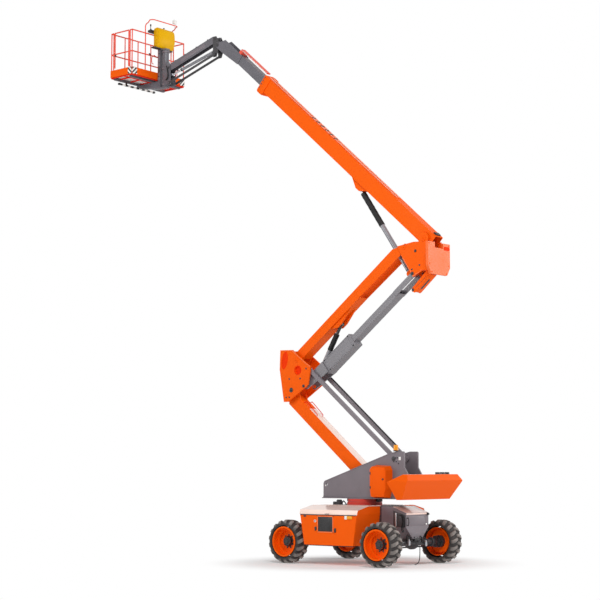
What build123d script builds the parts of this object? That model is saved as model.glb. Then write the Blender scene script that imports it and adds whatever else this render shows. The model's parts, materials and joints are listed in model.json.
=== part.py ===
"""Articulating boom lift on four wheels, in raised posture, in millimetres.

Forward is -X (the boom reaches that way), left is -Y, up is +Z.  The origin is on the ground, below the centre of
the whole machine's box.  The slewing axis stands SLEW_X behind it.  Outlines in the boom's vertical plane are given
as (x, z) pairs counted from the slewing axis, or as (along, up) pairs counted from a beam's foot pin.
"""
from build123d import *
from math import cos, radians, sin
import os

os.makedirs("parts", exist_ok=True)

# ---------------------------------------------------------------- driving dimensions
WHEELBASE = 2500.0
MACHINE_WIDTH = 2490.0
TYRE_DIAMETER = 930.0
TYRE_WIDTH = 355.0
TYRE_SEAT_DIAMETER = 600.0
RIM_LIP_DIAMETER = 640.0
RIM_WALL = 12.0
HUB_DIAMETER = 200.0
STEP_RADIUS = 240.0  # of the dish inside the rim's step
GROUND_CLEARANCE = 400.0

FRAME_WIDTH = 800.0
FRAME_BOTTOM = 480.0
FRAME_TOP = 1235.0
HOOD_PLATE = 5.0
BOX_REACH = 1200.0  # outer face of a side box, from the centre plane
BOX_WALL = 6.0
BOX_BOTTOM = 420.0
BOX_TOP = 1080.0
LID_CROWN = 1240.0
LID_WALL = 5.0

SLEW_RING_DIAMETER = 750.0
SLEW_RING_BOTTOM = FRAME_TOP
SLEW_RING_TOP = 1310.0
DECK_BOTTOM = 1380.0
DECK_PLATE = 20.0

LOWER_LENGTH = 3137.0
LOWER_ANGLE = 40.1
UPPER_LENGTH = 3749.0
UPPER_ANGLE = 37.85
MAIN_ANGLE = 41.4
MAIN_LENGTH = 6200.0
MAIN_HEEL = 205.0
FLY_REACH = 8053.0  # from the main boom's pivot to the jib's pivot, along the boom
JIB_LENGTH = 1614.0
JIB_ANGLE = -16.5

PLATFORM_DEPTH = 760.0
PLATFORM_WIDTH = 1830.0
RAIL_HEIGHT = 1100.0
RAIL_TUBE = 32.0

RUN_GAP = 0.3  # between faces that slide past one another
SIDE_GAP = 5.0  # between members that swing past one another

# lanes across the boom plane, as distances from it: inner face, outer face
LOWER_HALF = 125.0
LINK_LANE = (LOWER_HALF + SIDE_GAP, 163.0)
BAR_LANE = (170.0, 220.0)
KNUCKLE_LANE = (BAR_LANE[1] + SIDE_GAP, 260.0)
DECK_LANE = KNUCKLE_LANE
MAIN_HALF = 135.0
FORK_LANE = (MAIN_HALF + SIDE_GAP, 152.0)
CROWN_LANE = (FORK_LANE[1] + SIDE_GAP, 185.0)

# ---------------------------------------------------------------- pivots, from the slewing axis
SLEW_X = 2589.4
RISER_FOOT = (530.0, 1750.0)
BAR_FOOT = (980.0, 2230.0)
PIN_UP = (150.0, 670.0)  # the lower knuckle's pins, from the lower riser's top pin
PIN_BAR = (450.0, 480.0)
PIN_LINK = (360.0, 80.0)
BOOM_PIVOT = (500.0, 140.0)  # the upper knuckle's pins, from the upper riser's top pin
LIFT_FOOT = (40.0, -570.0)
JIB_PIVOT_DROP = 74.0
JIB_UPPER = (-100.0, 170.0)  # the jib base's pins, from the fly boom's tip
JIB_LOWER = (-90.0, -220.0)


def beyond(start, length, angle, lean=1):
    """The point a length away from start, raised by angle, towards +X (lean 1) or -X (lean -1)."""
    return (start[0] + lean * length * cos(radians(angle)), start[1] + length * sin(radians(angle)))


def shifted(start, step):
    """The point one step away from start."""
    return (start[0] + step[0], start[1] + step[1])


RISER_TOP = beyond(RISER_FOOT, LOWER_LENGTH, LOWER_ANGLE, -1)
BAR_TOP = shifted(RISER_TOP, PIN_BAR)
UPPER_FOOT = shifted(RISER_TOP, PIN_UP)
LINK_FOOT = shifted(RISER_TOP, PIN_LINK)
UPPER_TOP = beyond(UPPER_FOOT, UPPER_LENGTH, UPPER_ANGLE)
LINK_TOP = beyond(LINK_FOOT, UPPER_LENGTH, UPPER_ANGLE)
MAIN_PIVOT = shifted(UPPER_TOP, BOOM_PIVOT)
LIFT_BASE = shifted(UPPER_TOP, LIFT_FOOT)


def wall_plane(y=0.0):
    """The boom's vertical plane moved to y, with local x along +X from the slewing axis and local y up."""
    return Plane(origin=(SLEW_X, y, 0), x_dir=(1, 0, 0), z_dir=(0, -1, 0))


def beam_plane(foot, angle, lean=1):
    """A vertical plane at foot with local x along a beam and local y on its upper side."""
    return Plane(
        origin=(SLEW_X + foot[0], 0, foot[1]),
        x_dir=(lean * cos(radians(angle)), 0, sin(radians(angle))),
        z_dir=(0, -lean, 0),
    )


def on_beam(foot, angle, along, up, lean=1):
    """The (x, z) point at a beam's local (along, up)."""
    c, s = cos(radians(angle)), sin(radians(angle))
    return (foot[0] + lean * (along * c - up * s), foot[1] + along * s + up * c)


def slab(plane, half_width, points=(), discs=(), holes=(), mode=Mode.ADD):
    """One plate centred on the plane: a polygon and discs, less holes; discs and holes are (x, y, radius)."""
    with BuildSketch(plane) as section:
        if points:
            with BuildLine():
                Polyline(*points, close=True)
            make_face()
        for x, y, radius in discs:
            with Locations((x, y)):
                Circle(radius)
        for x, y, radius in holes:
            with Locations((x, y)):
                Circle(radius, mode=Mode.SUBTRACT)
    extrude(section.sketch, amount=half_width, both=True, mode=mode)


def cheeks(plane, lane, points=(), discs=(), holes=(), mode=Mode.ADD):
    """Two mirrored plates of an outline, each filling one lane."""
    for sign in (-1, 1):
        slab(plane.offset(sign * (lane[0] + lane[1]) / 2), (lane[1] - lane[0]) / 2, points, discs, holes, mode)


def span(plane, start, end, low, high, half_width, wall):
    """A rectangular tube along a beam's plane, open at both ends."""
    slab(plane, half_width, [(start, low), (end, low), (end, high), (start, high)])
    inner = [(start, low + wall), (end, low + wall), (end, high - wall), (start, high - wall)]
    slab(plane, half_width - wall, inner, mode=Mode.SUBTRACT)


def finish(piece, name):
    """Labels a finished piece and writes it."""
    piece.part.label = name
    export_step(piece.part, f"parts/{name}.step")


# ---------------------------------------------------------------- wheels
AXLE_HEIGHT = TYRE_DIAMETER / 2
WHEEL_Y = (MACHINE_WIDTH - TYRE_WIDTH) / 2
TREAD_DEPTH = 28.0
SIDEWALL_ROUND = 40.0
RIM_DEPTH = 110.0  # how far the rim's disc lies inside its outer lip
KINGPIN_Y = WHEEL_Y - 140.0
FLANGE_FACE = WHEEL_Y - 30.0  # where the wheel's disc bolts to the hub

WHEELS = [  # name, x from the slewing axis, side
    ("front_left", -WHEELBASE / 2, -1),
    ("front_right", -WHEELBASE / 2, 1),
    ("rear_left", WHEELBASE / 2, -1),
    ("rear_right", WHEELBASE / 2, 1),
]
LUG_COUNT = 17  # in each of the two rows
LUG_FOOT, LUG_CREST = 31.0, 25.0  # half a lug's width at its foot and at its crest
LUG_SHIFT = 68.0  # how far a lug's outer end stands round the tyre from its inner end
LUG_TOP = 461.2
TYRE_SIDES = 34
half = TYRE_WIDTH / 2
carcass = TYRE_DIAMETER / 2 - TREAD_DEPTH
seat = TYRE_SEAT_DIAMETER / 2


def across_axle(y, side=1):
    """A plane across the tyre's axle, facing the given side."""
    return Plane(origin=(0, y, 0), x_dir=(1, 0, 0), z_dir=(0, side, 0))


with BuildPart() as tyre_form:
    # a many-sided carcass about the Y axis
    with BuildSketch(across_axle(-half + SIDEWALL_ROUND)):
        RegularPolygon(carcass, TYRE_SIDES)
    extrude(amount=TYRE_WIDTH - 2 * SIDEWALL_ROUND)
    for side in (-1, 1):
        with BuildSketch(across_axle(side * (half - SIDEWALL_ROUND), side)):
            RegularPolygon(carcass, TYRE_SIDES)
        with BuildSketch(across_axle(side * half, side)):
            RegularPolygon(carcass - SIDEWALL_ROUND, TYRE_SIDES)
        loft(ruled=True)
    # slanted lugs in two staggered rows
    for side in (-1, 1):
        for step in range(LUG_COUNT):
            turn = radians(360 / LUG_COUNT * (step + (side + 1) / 4))
            round_way = Vector(-sin(turn), 0, cos(turn))
            inner_end = Vector(0, side * 4, 0) - round_way * (LUG_SHIFT / 2)
            reach = Vector(0, side * (half - 10), 0) + round_way * LUG_SHIFT
            with BuildSketch(Plane(origin=inner_end, x_dir=round_way, z_dir=(0, side, 0))):
                with BuildLine():
                    Polyline(
                        (-LUG_FOOT, side * (carcass - SIDEWALL_ROUND)),
                        (LUG_FOOT, side * (carcass - SIDEWALL_ROUND)),
                        (LUG_CREST, side * LUG_TOP),
                        (-LUG_CREST, side * LUG_TOP),
                        close=True,
                    )
                make_face()
            extrude(amount=reach.length, dir=reach)
    for side in (-1, 1):
        with BuildSketch(across_axle(side * half, side)):
            RegularPolygon(carcass - SIDEWALL_ROUND - 6, TYRE_SIDES)
        with BuildSketch(across_axle(side * (half - 25), side)):
            RegularPolygon(seat, TYRE_SIDES)
        loft(ruled=True, mode=Mode.SUBTRACT)
    with BuildSketch(across_axle(-half)):
        Circle(seat)
    extrude(amount=TYRE_WIDTH, mode=Mode.SUBTRACT)

for name, wheel_x, side in WHEELS:
    axle = Plane(origin=(SLEW_X + wheel_x, side * WHEEL_Y, AXLE_HEIGHT), x_dir=(1, 0, 0), z_dir=(0, side, 0))
    with BuildPart() as tyre:
        with Locations(axle.origin):
            add(tyre_form.part)
    finish(tyre, f"tyre_{name}")

    with BuildPart() as rim:
        # the barrel, its outer lip, the step inside it, and the dished disc with its hub: outer and inner radius, start and
        # length from the wheel's centre plane outwards
        disc_at = FLANGE_FACE - WHEEL_Y + RUN_GAP
        for outer, inner, start, length in (
            (seat, seat - RIM_WALL, -half + 30, TYRE_WIDTH - 48),
            (RIM_LIP_DIAMETER / 2, seat - RIM_WALL, half - 18, 12),
            (seat - RIM_WALL / 2, STEP_RADIUS - RIM_WALL, 30, 16),
            (STEP_RADIUS, STEP_RADIUS - RIM_WALL, disc_at, 46 - disc_at),
            (STEP_RADIUS, 0, disc_at, 18),
            (HUB_DIAMETER / 2, 0, disc_at, 90),
        ):
            with BuildSketch(axle.offset(start)):
                Circle(outer)
                if inner:
                    Circle(inner, mode=Mode.SUBTRACT)
            extrude(amount=length)
    finish(rim, f"rim_{name}")

# ---------------------------------------------------------------- chassis
AXLE_TUBE = 150.0
FRONT_X, REAR_X = -WHEELBASE / 2, WHEELBASE / 2
BODY_FRONT, BODY_REAR = -860.0, 760.0
NOSE_REACH = 150.0  # the end hoods' reach past the axle
HALF_FRAME = FRAME_WIDTH / 2
NOSE_FOOT = 160.0
HINGE_RADIUS = 6.0  # the rolled edge that a hood turns on
HINGE_Y = HALF_FRAME - 12.0
EAR_GAP = 90.0  # half the height between the axle's two kingpin ears
EAR_THICK = 30.0
KINGPIN = 18.0

with BuildPart() as chassis_frame:
    slab(
        wall_plane(),
        HALF_FRAME,
        [(BODY_FRONT, FRAME_BOTTOM), (BODY_REAR, FRAME_BOTTOM), (BODY_REAR, FRAME_TOP), (BODY_FRONT, FRAME_TOP)],
    )
    # the front nose over the fixed axle
    nose = Plane(origin=(SLEW_X + BODY_FRONT, 0, 0), x_dir=(0, -1, 0), z_dir=(-1, 0, 0))
    with BuildSketch(nose):
        with BuildLine():
            Polyline(
                (-HALF_FRAME, FRAME_TOP - 150),
                (-HALF_FRAME, 800),
                (-NOSE_FOOT, 560),
                (NOSE_FOOT, 560),
                (HALF_FRAME, 800),
                (HALF_FRAME, FRAME_TOP - 150),
                close=True,
            )
        make_face()
    extrude(amount=BODY_FRONT - FRONT_X + NOSE_REACH)
finish(chassis_frame, "chassis_frame")

with BuildPart() as rear_hood:
    tail = Plane(origin=(SLEW_X + BODY_REAR, 0, 0), x_dir=(0, 1, 0), z_dir=(1, 0, 0))
    with BuildSketch(tail):
        with BuildLine():
            Polyline(
                (-HALF_FRAME, LID_CROWN - 10),
                (-HALF_FRAME, 800),
                (-NOSE_FOOT, 560),
                (NOSE_FOOT, 560),
                (HALF_FRAME, 800),
                (HALF_FRAME, LID_CROWN - 10),
                close=True,
            )
        make_face()
    extrude(amount=REAR_X + NOSE_REACH - BODY_REAR)
    slab(
        wall_plane(),
        HALF_FRAME + 10,
        [(BODY_REAR + 250, LID_CROWN), (REAR_X + NOSE_REACH + 10, 1095), (REAR_X + NOSE_REACH + 10, LID_CROWN)],
        mode=Mode.SUBTRACT,
    )
finish(rear_hood, "rear_hood")

for name, side in (("left", -1), ("right", 1)):
    mid_y = side * (HALF_FRAME + BOX_REACH) / 2
    half_box = (BOX_REACH - HALF_FRAME) / 2
    with BuildPart() as side_box:
        slab(
            wall_plane(mid_y),
            half_box,
            [(-700, BOX_BOTTOM), (620, BOX_BOTTOM), (720, BOX_TOP), (-820, BOX_TOP)],
        )
        slab(
            wall_plane(mid_y),
            half_box - BOX_WALL,
            [
                (-700 + BOX_WALL, BOX_BOTTOM + BOX_WALL),
                (620 - BOX_WALL, BOX_BOTTOM + BOX_WALL),
                (720 - BOX_WALL, BOX_TOP + 1),
                (-820 + BOX_WALL, BOX_TOP + 1),
            ],
            mode=Mode.SUBTRACT,
        )
        # the end plates rise to the lid's underside
        for end_x in (-820, 720 - BOX_WALL):
            with BuildSketch(Plane(origin=(SLEW_X + end_x, 0, 0), x_dir=(0, side, 0), z_dir=(side, 0, 0))):
                with BuildLine():
                    Polyline(
                        (HALF_FRAME, BOX_TOP - 1),
                        (BOX_REACH, BOX_TOP - 1),
                        (BOX_REACH - 30, 1153),
                        (820, LID_CROWN - LID_WALL - RUN_GAP),
                        (HALF_FRAME, LID_CROWN - LID_WALL - RUN_GAP),
                        close=True,
                    )
                make_face()
            extrude(amount=side * BOX_WALL)
    finish(side_box, f"side_box_{name}")

    with BuildPart() as hood:
        edge = Plane(origin=(SLEW_X - 830, 0, 0), x_dir=(0, side, 0), z_dir=(side, 0, 0))
        low = BOX_TOP - 20
        with BuildSketch(edge):
            with BuildLine():
                Polyline(
                    (BOX_REACH + RUN_GAP, low),
                    (BOX_REACH + RUN_GAP, BOX_TOP),
                    (BOX_REACH - 30 + RUN_GAP, 1153),
                    (820, LID_CROWN - LID_WALL),
                    (HALF_FRAME + RUN_GAP, LID_CROWN - LID_WALL),
                    (HINGE_Y, FRAME_TOP + RUN_GAP),
                    (HINGE_Y, LID_CROWN),
                    (820, LID_CROWN),
                    (BOX_REACH - 30 + LID_WALL, 1158),
                    (BOX_REACH + LID_WALL, BOX_TOP),
                    (BOX_REACH + LID_WALL, low),
                    close=True,
                )
            make_face()
            with Locations((HINGE_Y, FRAME_TOP + RUN_GAP + HINGE_RADIUS)):
                Circle(HINGE_RADIUS)
        extrude(amount=side * 1560)
    finish(hood, f"hood_{name}")

with BuildPart() as power_units:
    for side in (-1, 1):
        slab(
            wall_plane(side * (HALF_FRAME + BOX_REACH) / 2),
            (BOX_REACH - HALF_FRAME) / 2 - 60,
            [(-600, BOX_BOTTOM + BOX_WALL), (520, BOX_BOTTOM + BOX_WALL), (520, BOX_TOP - 40), (-600, BOX_TOP - 40)],
        )
finish(power_units, "power_units")

for name, end_x, arm_y in (("front", FRONT_X, FLANGE_FACE), ("rear", REAR_X, KINGPIN_Y - 75)):
    with BuildPart() as axle_beam:
        beam_end = Plane(origin=(SLEW_X + end_x, 0, AXLE_HEIGHT), x_dir=(1, 0, 0), z_dir=(0, 1, 0))
        with BuildSketch(beam_end):
            Circle(AXLE_TUBE / 2 - 15)
        extrude(amount=arm_y, both=True)
        # the saddle up to the frame
        slab(
            wall_plane(),
            NOSE_FOOT,
            [(end_x - 110, AXLE_HEIGHT), (end_x + 110, AXLE_HEIGHT), (end_x + 110, 560), (end_x - 110, 560)],
        )
        if name == "rear":
            for side in (-1, 1):
                pin_y = side * KINGPIN_Y
                for ear_z in (AXLE_HEIGHT - EAR_GAP - EAR_THICK, AXLE_HEIGHT + EAR_GAP):
                    with BuildSketch(Plane.XY.offset(ear_z)):
                        with Locations((SLEW_X + end_x, pin_y - side * 45)):
                            Rectangle(70, 90)
                        with Locations((SLEW_X + end_x, pin_y)):
                            Circle(32)
                    extrude(amount=EAR_THICK)
                with BuildSketch(Plane.XY.offset(AXLE_HEIGHT - EAR_GAP - EAR_THICK)):
                    with Locations((SLEW_X + end_x, pin_y)):
                        Circle(KINGPIN)
                extrude(amount=2 * (EAR_GAP + EAR_THICK))
                with BuildSketch(Plane.XY.offset(AXLE_HEIGHT - EAR_GAP - EAR_THICK)):
                    with Locations((SLEW_X + end_x, pin_y - side * 90)):
                        Rectangle(70, 32)
                extrude(amount=2 * (EAR_GAP + EAR_THICK))
    finish(axle_beam, f"axle_{name}")

# ---------------------------------------------------------------- steering
ARM_REACH = 170.0
for name, side in (("left", -1), ("right", 1)):
    with BuildPart() as knuckle:
        slab(
            wall_plane(side * KINGPIN_Y),
            40,
            [
                (REAR_X - 40, AXLE_HEIGHT - EAR_GAP + RUN_GAP),
                (REAR_X + 40, AXLE_HEIGHT - EAR_GAP + RUN_GAP),
                (REAR_X + 40, AXLE_HEIGHT + EAR_GAP - RUN_GAP),
                (REAR_X - 40, AXLE_HEIGHT + EAR_GAP - RUN_GAP),
            ],
        )
        for radius, inner in ((70, KINGPIN_Y), (130, KINGPIN_Y + 45)):
            with BuildSketch(wall_plane(side * FLANGE_FACE)):
                with Locations((REAR_X, AXLE_HEIGHT)):
                    Circle(radius)
            extrude(amount=side * (FLANGE_FACE - inner))
        with BuildSketch(Plane.XY.offset(AXLE_HEIGHT - EAR_GAP + 5)):
            with Locations((SLEW_X + REAR_X - ARM_REACH / 2, side * (KINGPIN_Y - 15))):
                Rectangle(ARM_REACH + 40, 30)
        extrude(amount=20)
        with BuildSketch(Plane.XY.offset(AXLE_HEIGHT - EAR_GAP)):
            with Locations((SLEW_X + REAR_X, side * KINGPIN_Y)):
                Circle(KINGPIN + RUN_GAP)
        extrude(amount=2 * EAR_GAP, mode=Mode.SUBTRACT)
    finish(knuckle, f"knuckle_{name}")

with BuildPart() as tie_rod:
    rod_z = AXLE_HEIGHT - EAR_GAP + 5 - RUN_GAP - 15
    for side in (-1, 1):
        with BuildSketch(Plane.XY.offset(rod_z - 15)):
            with Locations((SLEW_X + REAR_X - ARM_REACH, side * (KINGPIN_Y - 15))):
                Rectangle(44, 44)
        extrude(amount=30)
    with BuildSketch(wall_plane(KINGPIN_Y - 30)):
        with Locations((REAR_X - ARM_REACH, rod_z)):
            Circle(14)
    extrude(amount=2 * (KINGPIN_Y - 30))
finish(tie_rod, "tie_rod")

LUG_THICK, LUG_HOLE, LUG_Y, LUG_DROP = 20.0, 20.0, 300.0, 45.0
LUG_X = (-744.0, 690.0)
with BuildPart() as lashing_lugs:
    for lug_x in LUG_X:
        for side in (-1, 1):
            slab(
                wall_plane(side * LUG_Y),
                LUG_THICK / 2,
                [(lug_x - 45, FRAME_BOTTOM - LUG_DROP), (lug_x + 45, FRAME_BOTTOM - LUG_DROP), (lug_x + 45, FRAME_BOTTOM), (lug_x - 45, FRAME_BOTTOM)],
                discs=[(lug_x, FRAME_BOTTOM - LUG_DROP, 45)],
                holes=[(lug_x, FRAME_BOTTOM - LUG_DROP, LUG_HOLE)],
            )
finish(lashing_lugs, "lashing_lugs")

TOW_THICK, TOW_HOLE, TOW_X, TOW_Z = 25.0, 16.0, 190.0, 500.0
with BuildPart() as tow_lug:
    with BuildSketch(Plane.XY.offset(TOW_Z)):
        with Locations((SLEW_X + REAR_X + (110 + TOW_X) / 2, 0)):
            Rectangle(TOW_X - 110, 90)
        with Locations((SLEW_X + REAR_X + TOW_X, 0)):
            Circle(45)
            Circle(TOW_HOLE, mode=Mode.SUBTRACT)
    extrude(amount=TOW_THICK)
finish(tow_lug, "tow_lug")

# ---------------------------------------------------------------- earthing strap
STRAP_RADIUS = 9.0
STRAP_X, STRAP_Y = SLEW_X + REAR_X, 290.0
STRAP_ROUTE = [
    (STRAP_X, STRAP_Y, AXLE_HEIGHT - AXLE_TUBE / 2 + 15 - RUN_GAP),
    (STRAP_X + 3, STRAP_Y - 2, 280),
    (STRAP_X, STRAP_Y - 6, 160),
    (STRAP_X - 5, STRAP_Y - 22, 66),
    (STRAP_X - 17, STRAP_Y - 75, 16),
    (STRAP_X - 24, STRAP_Y - 150, STRAP_RADIUS),
]


def bend_radii(route):
    """The largest arc at each inner point of a route that its two runs leave room for."""
    radii = []
    for before, here, after in zip(route, route[1:], route[2:]):
        run_in, run_out = Vector(*here) - Vector(*before), Vector(*after) - Vector(*here)
        half_turn = radians(run_in.get_angle(run_out)) / 2
        radii.append(0.45 * min(run_in.length, run_out.length) * cos(half_turn) / sin(half_turn))
    return radii


with BuildPart() as earthing_strap:
    with BuildLine() as strap_path:
        FilletPolyline(*STRAP_ROUTE, radius=bend_radii(STRAP_ROUTE))
    with BuildSketch(Plane(origin=strap_path.line @ 0, z_dir=strap_path.line % 0)):
        Circle(STRAP_RADIUS)
    sweep(path=strap_path.line)
finish(earthing_strap, "earthing_strap")

# ---------------------------------------------------------------- turntable
SLEW_CENTRE = Plane(origin=(SLEW_X, 0, 0), x_dir=(1, 0, 0), z_dir=(0, 0, 1))
with BuildPart() as slew_ring:
    with BuildSketch(SLEW_CENTRE.offset(SLEW_RING_BOTTOM)):
        Circle(SLEW_RING_DIAMETER / 2)
        Circle(SLEW_RING_DIAMETER / 2 - 90, mode=Mode.SUBTRACT)
    extrude(amount=SLEW_RING_TOP - SLEW_RING_BOTTOM)
finish(slew_ring, "slew_ring")

FOOT_PIN = 40.0
PIN_HOLE = FOOT_PIN + RUN_GAP
PIN_ENTRY = 20.0  # how far a pin enters the lower riser's lugs
SIDE_PLATE = [
    (-940, DECK_BOTTOM),
    (-940, 1700),
    (-920, 1745),
    (-880, 1765),
    (850, 2340),
    (1060, 2385),
    (1240, 2385),
    (1260, 2360),
    (1260, 2050),
    (1350, 1910),
    (1350, DECK_BOTTOM),
]
with BuildPart() as turntable_frame:
    cheeks(wall_plane(), DECK_LANE, SIDE_PLATE)
    cheeks(wall_plane(), DECK_LANE, [(-885, 1660), (-870, 1635), (-815, 1690), (-830, 1715)], mode=Mode.SUBTRACT)
    slab(wall_plane(), 310, [(-940, DECK_BOTTOM), (1350, DECK_BOTTOM), (1350, DECK_BOTTOM + DECK_PLATE), (-940, DECK_BOTTOM + DECK_PLATE)])
    # the round foot on the slew ring
    with BuildSketch(SLEW_CENTRE.offset(SLEW_RING_TOP + RUN_GAP)):
        Circle(SLEW_RING_DIAMETER / 2 - 25)
    extrude(amount=DECK_BOTTOM - SLEW_RING_TOP)
    slab(wall_plane(), DECK_LANE[0], [(1290, DECK_BOTTOM), (1320, DECK_BOTTOM), (1320, 1900), (1290, 1900)])
    # stub pins: the bars' outer feet, and the lower riser's cross pin
    for inner, outer, pin in ((BAR_LANE[0] - 4, DECK_LANE[0], BAR_FOOT), (LOWER_HALF - PIN_ENTRY, DECK_LANE[0], RISER_FOOT)):
        cheeks(wall_plane(), (inner, outer), discs=[(*pin, FOOT_PIN)])
finish(turntable_frame, "turntable_frame")

WEIGHT_HALF = 1000.0
with BuildPart() as counterweight:
    profile = [(1350, DECK_BOTTOM), (1350, 1745), (1700, 1905), (1810, 1905), (1880, 1780), (1630, DECK_BOTTOM)]
    slab(wall_plane(), WEIGHT_HALF, profile)
    # its sides lean outwards to a ridge and in again above it
    with BuildSketch(Plane(origin=(SLEW_X + 1340, 0, 0), x_dir=(0, 1, 0), z_dir=(1, 0, 0))):
        with BuildLine():
            Polyline(
                (-WEIGHT_HALF + 140, DECK_BOTTOM),
                (-WEIGHT_HALF, 1760),
                (-WEIGHT_HALF + 100, 1910),
                (WEIGHT_HALF - 100, 1910),
                (WEIGHT_HALF, 1760),
                (WEIGHT_HALF - 140, DECK_BOTTOM),
                close=True,
            )
        make_face()
    extrude(amount=560, mode=Mode.INTERSECT)
    for side in (-1, 1):
        kept = Vector(94.9, -54.75 * side, 60)
        split(bisect_by=Plane(origin=(SLEW_X + 1350, side * 600, DECK_BOTTOM), z_dir=kept), keep=Keep.TOP)
finish(counterweight, "counterweight")

POD_LANE = (DECK_LANE[1], 470.0)
POD_OUTLINE = [(500, 1400), (890, 1400), (950, 1600), (950, 1990), (900, 2080), (540, 2100), (470, 2020), (470, 1600)]
with BuildPart() as control_pod:
    with BuildSketch(wall_plane(-POD_LANE[0])):
        with BuildLine():
            Polyline(*POD_OUTLINE, close=True)
        make_face()
    extrude(amount=POD_LANE[1] - POD_LANE[0], taper=9)
finish(control_pod, "control_pod")

with BuildPart() as beacon:
    with BuildSketch(Plane.XY.offset(2385)):
        with Locations((SLEW_X + 1030, -(DECK_LANE[0] + DECK_LANE[1]) / 2)):
            Circle(45)
    extrude(amount=30)
    with BuildSketch(Plane.XY.offset(2415)):
        with Locations((SLEW_X + 1030, -(DECK_LANE[0] + DECK_LANE[1]) / 2)):
            Circle(55)
    extrude(amount=110, taper=4)
finish(beacon, "beacon")

# ---------------------------------------------------------------- lower arm
RISER_WALL = 8.0
LOWER_PLANE = beam_plane(RISER_FOOT, LOWER_ANGLE, -1)
LOWER_TUBE = (-345.0, -55.0)  # its lower and upper face, from the pin line
with BuildPart() as lower_riser:
    low, high = LOWER_TUBE
    span(LOWER_PLANE, 60, LOWER_LENGTH - 60, low, high, LOWER_HALF, RISER_WALL)
    # the lugs that carry its end pins above the tube
    lug_lane = (LOWER_HALF - PIN_ENTRY, LOWER_HALF)
    for end, lean in ((0, 1), (LOWER_LENGTH, -1)):
        outline = [(-100, 0), (-85, -170), (60, low), (560, low), (480, high), (260, high), (150, 20), (80, 70)]
        cheeks(
            LOWER_PLANE,
            lug_lane,
            [(end + lean * along, up) for along, up in outline],
            discs=[(end, 0, 100)],
            holes=[(end, 0, PIN_HOLE)],
        )
finish(lower_riser, "lower_riser")

BAR_PLANE = beam_plane(BAR_FOOT, LOWER_ANGLE, -1)
with BuildPart() as lower_bars:
    half_bar = 45.0
    cheeks(
        BAR_PLANE,
        BAR_LANE,
        [(0, -half_bar), (LOWER_LENGTH, -half_bar), (LOWER_LENGTH, half_bar), (0, half_bar)],
        discs=[(0, 0, 60), (LOWER_LENGTH, 0, 60)],
    )
    cheeks(BAR_PLANE, BAR_LANE, discs=[(0, 0, PIN_HOLE), (LOWER_LENGTH, 0, PIN_HOLE)], mode=Mode.SUBTRACT)
finish(lower_bars, "lower_bars")

with BuildPart() as lower_knuckle:
    # outline counted from the lower riser's top pin
    plate = [
        (-320, 910), (30, 900), (130, 820), (420, 600), (560, 510), (540, 380), (490, 110), (-90, -260), (-220, -260), (-340, 450),
    ]
    knuckle_plane = beam_plane(RISER_TOP, 0)
    cheeks(knuckle_plane, KNUCKLE_LANE, plate, holes=[(190, 440, 85)])
    cheeks(knuckle_plane, KNUCKLE_LANE, [(-235, 560), (-155, 540), (-130, 790), (-215, 790)], discs=[(-195, 555, 40), (-172, 790, 42)], mode=Mode.SUBTRACT)
    cheeks(knuckle_plane, (LOWER_HALF - PIN_ENTRY, KNUCKLE_LANE[0]), discs=[(0, 0, FOOT_PIN)])
    cheeks(knuckle_plane, (BAR_LANE[0] - 4, KNUCKLE_LANE[0]), discs=[(*PIN_BAR, FOOT_PIN)])
    cheeks(knuckle_plane, (LINK_LANE[0], KNUCKLE_LANE[0]), discs=[(*PIN_LINK, FOOT_PIN)])
    cheeks(knuckle_plane, (FORK_LANE[0], KNUCKLE_LANE[0]), discs=[(*PIN_UP, FOOT_PIN)])
    # the closed front wall
    slab(knuckle_plane, KNUCKLE_LANE[0], [(-340, 450), (-310, 450), (-290, 905), (-320, 910)])
finish(lower_knuckle, "lower_knuckle")

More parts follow.
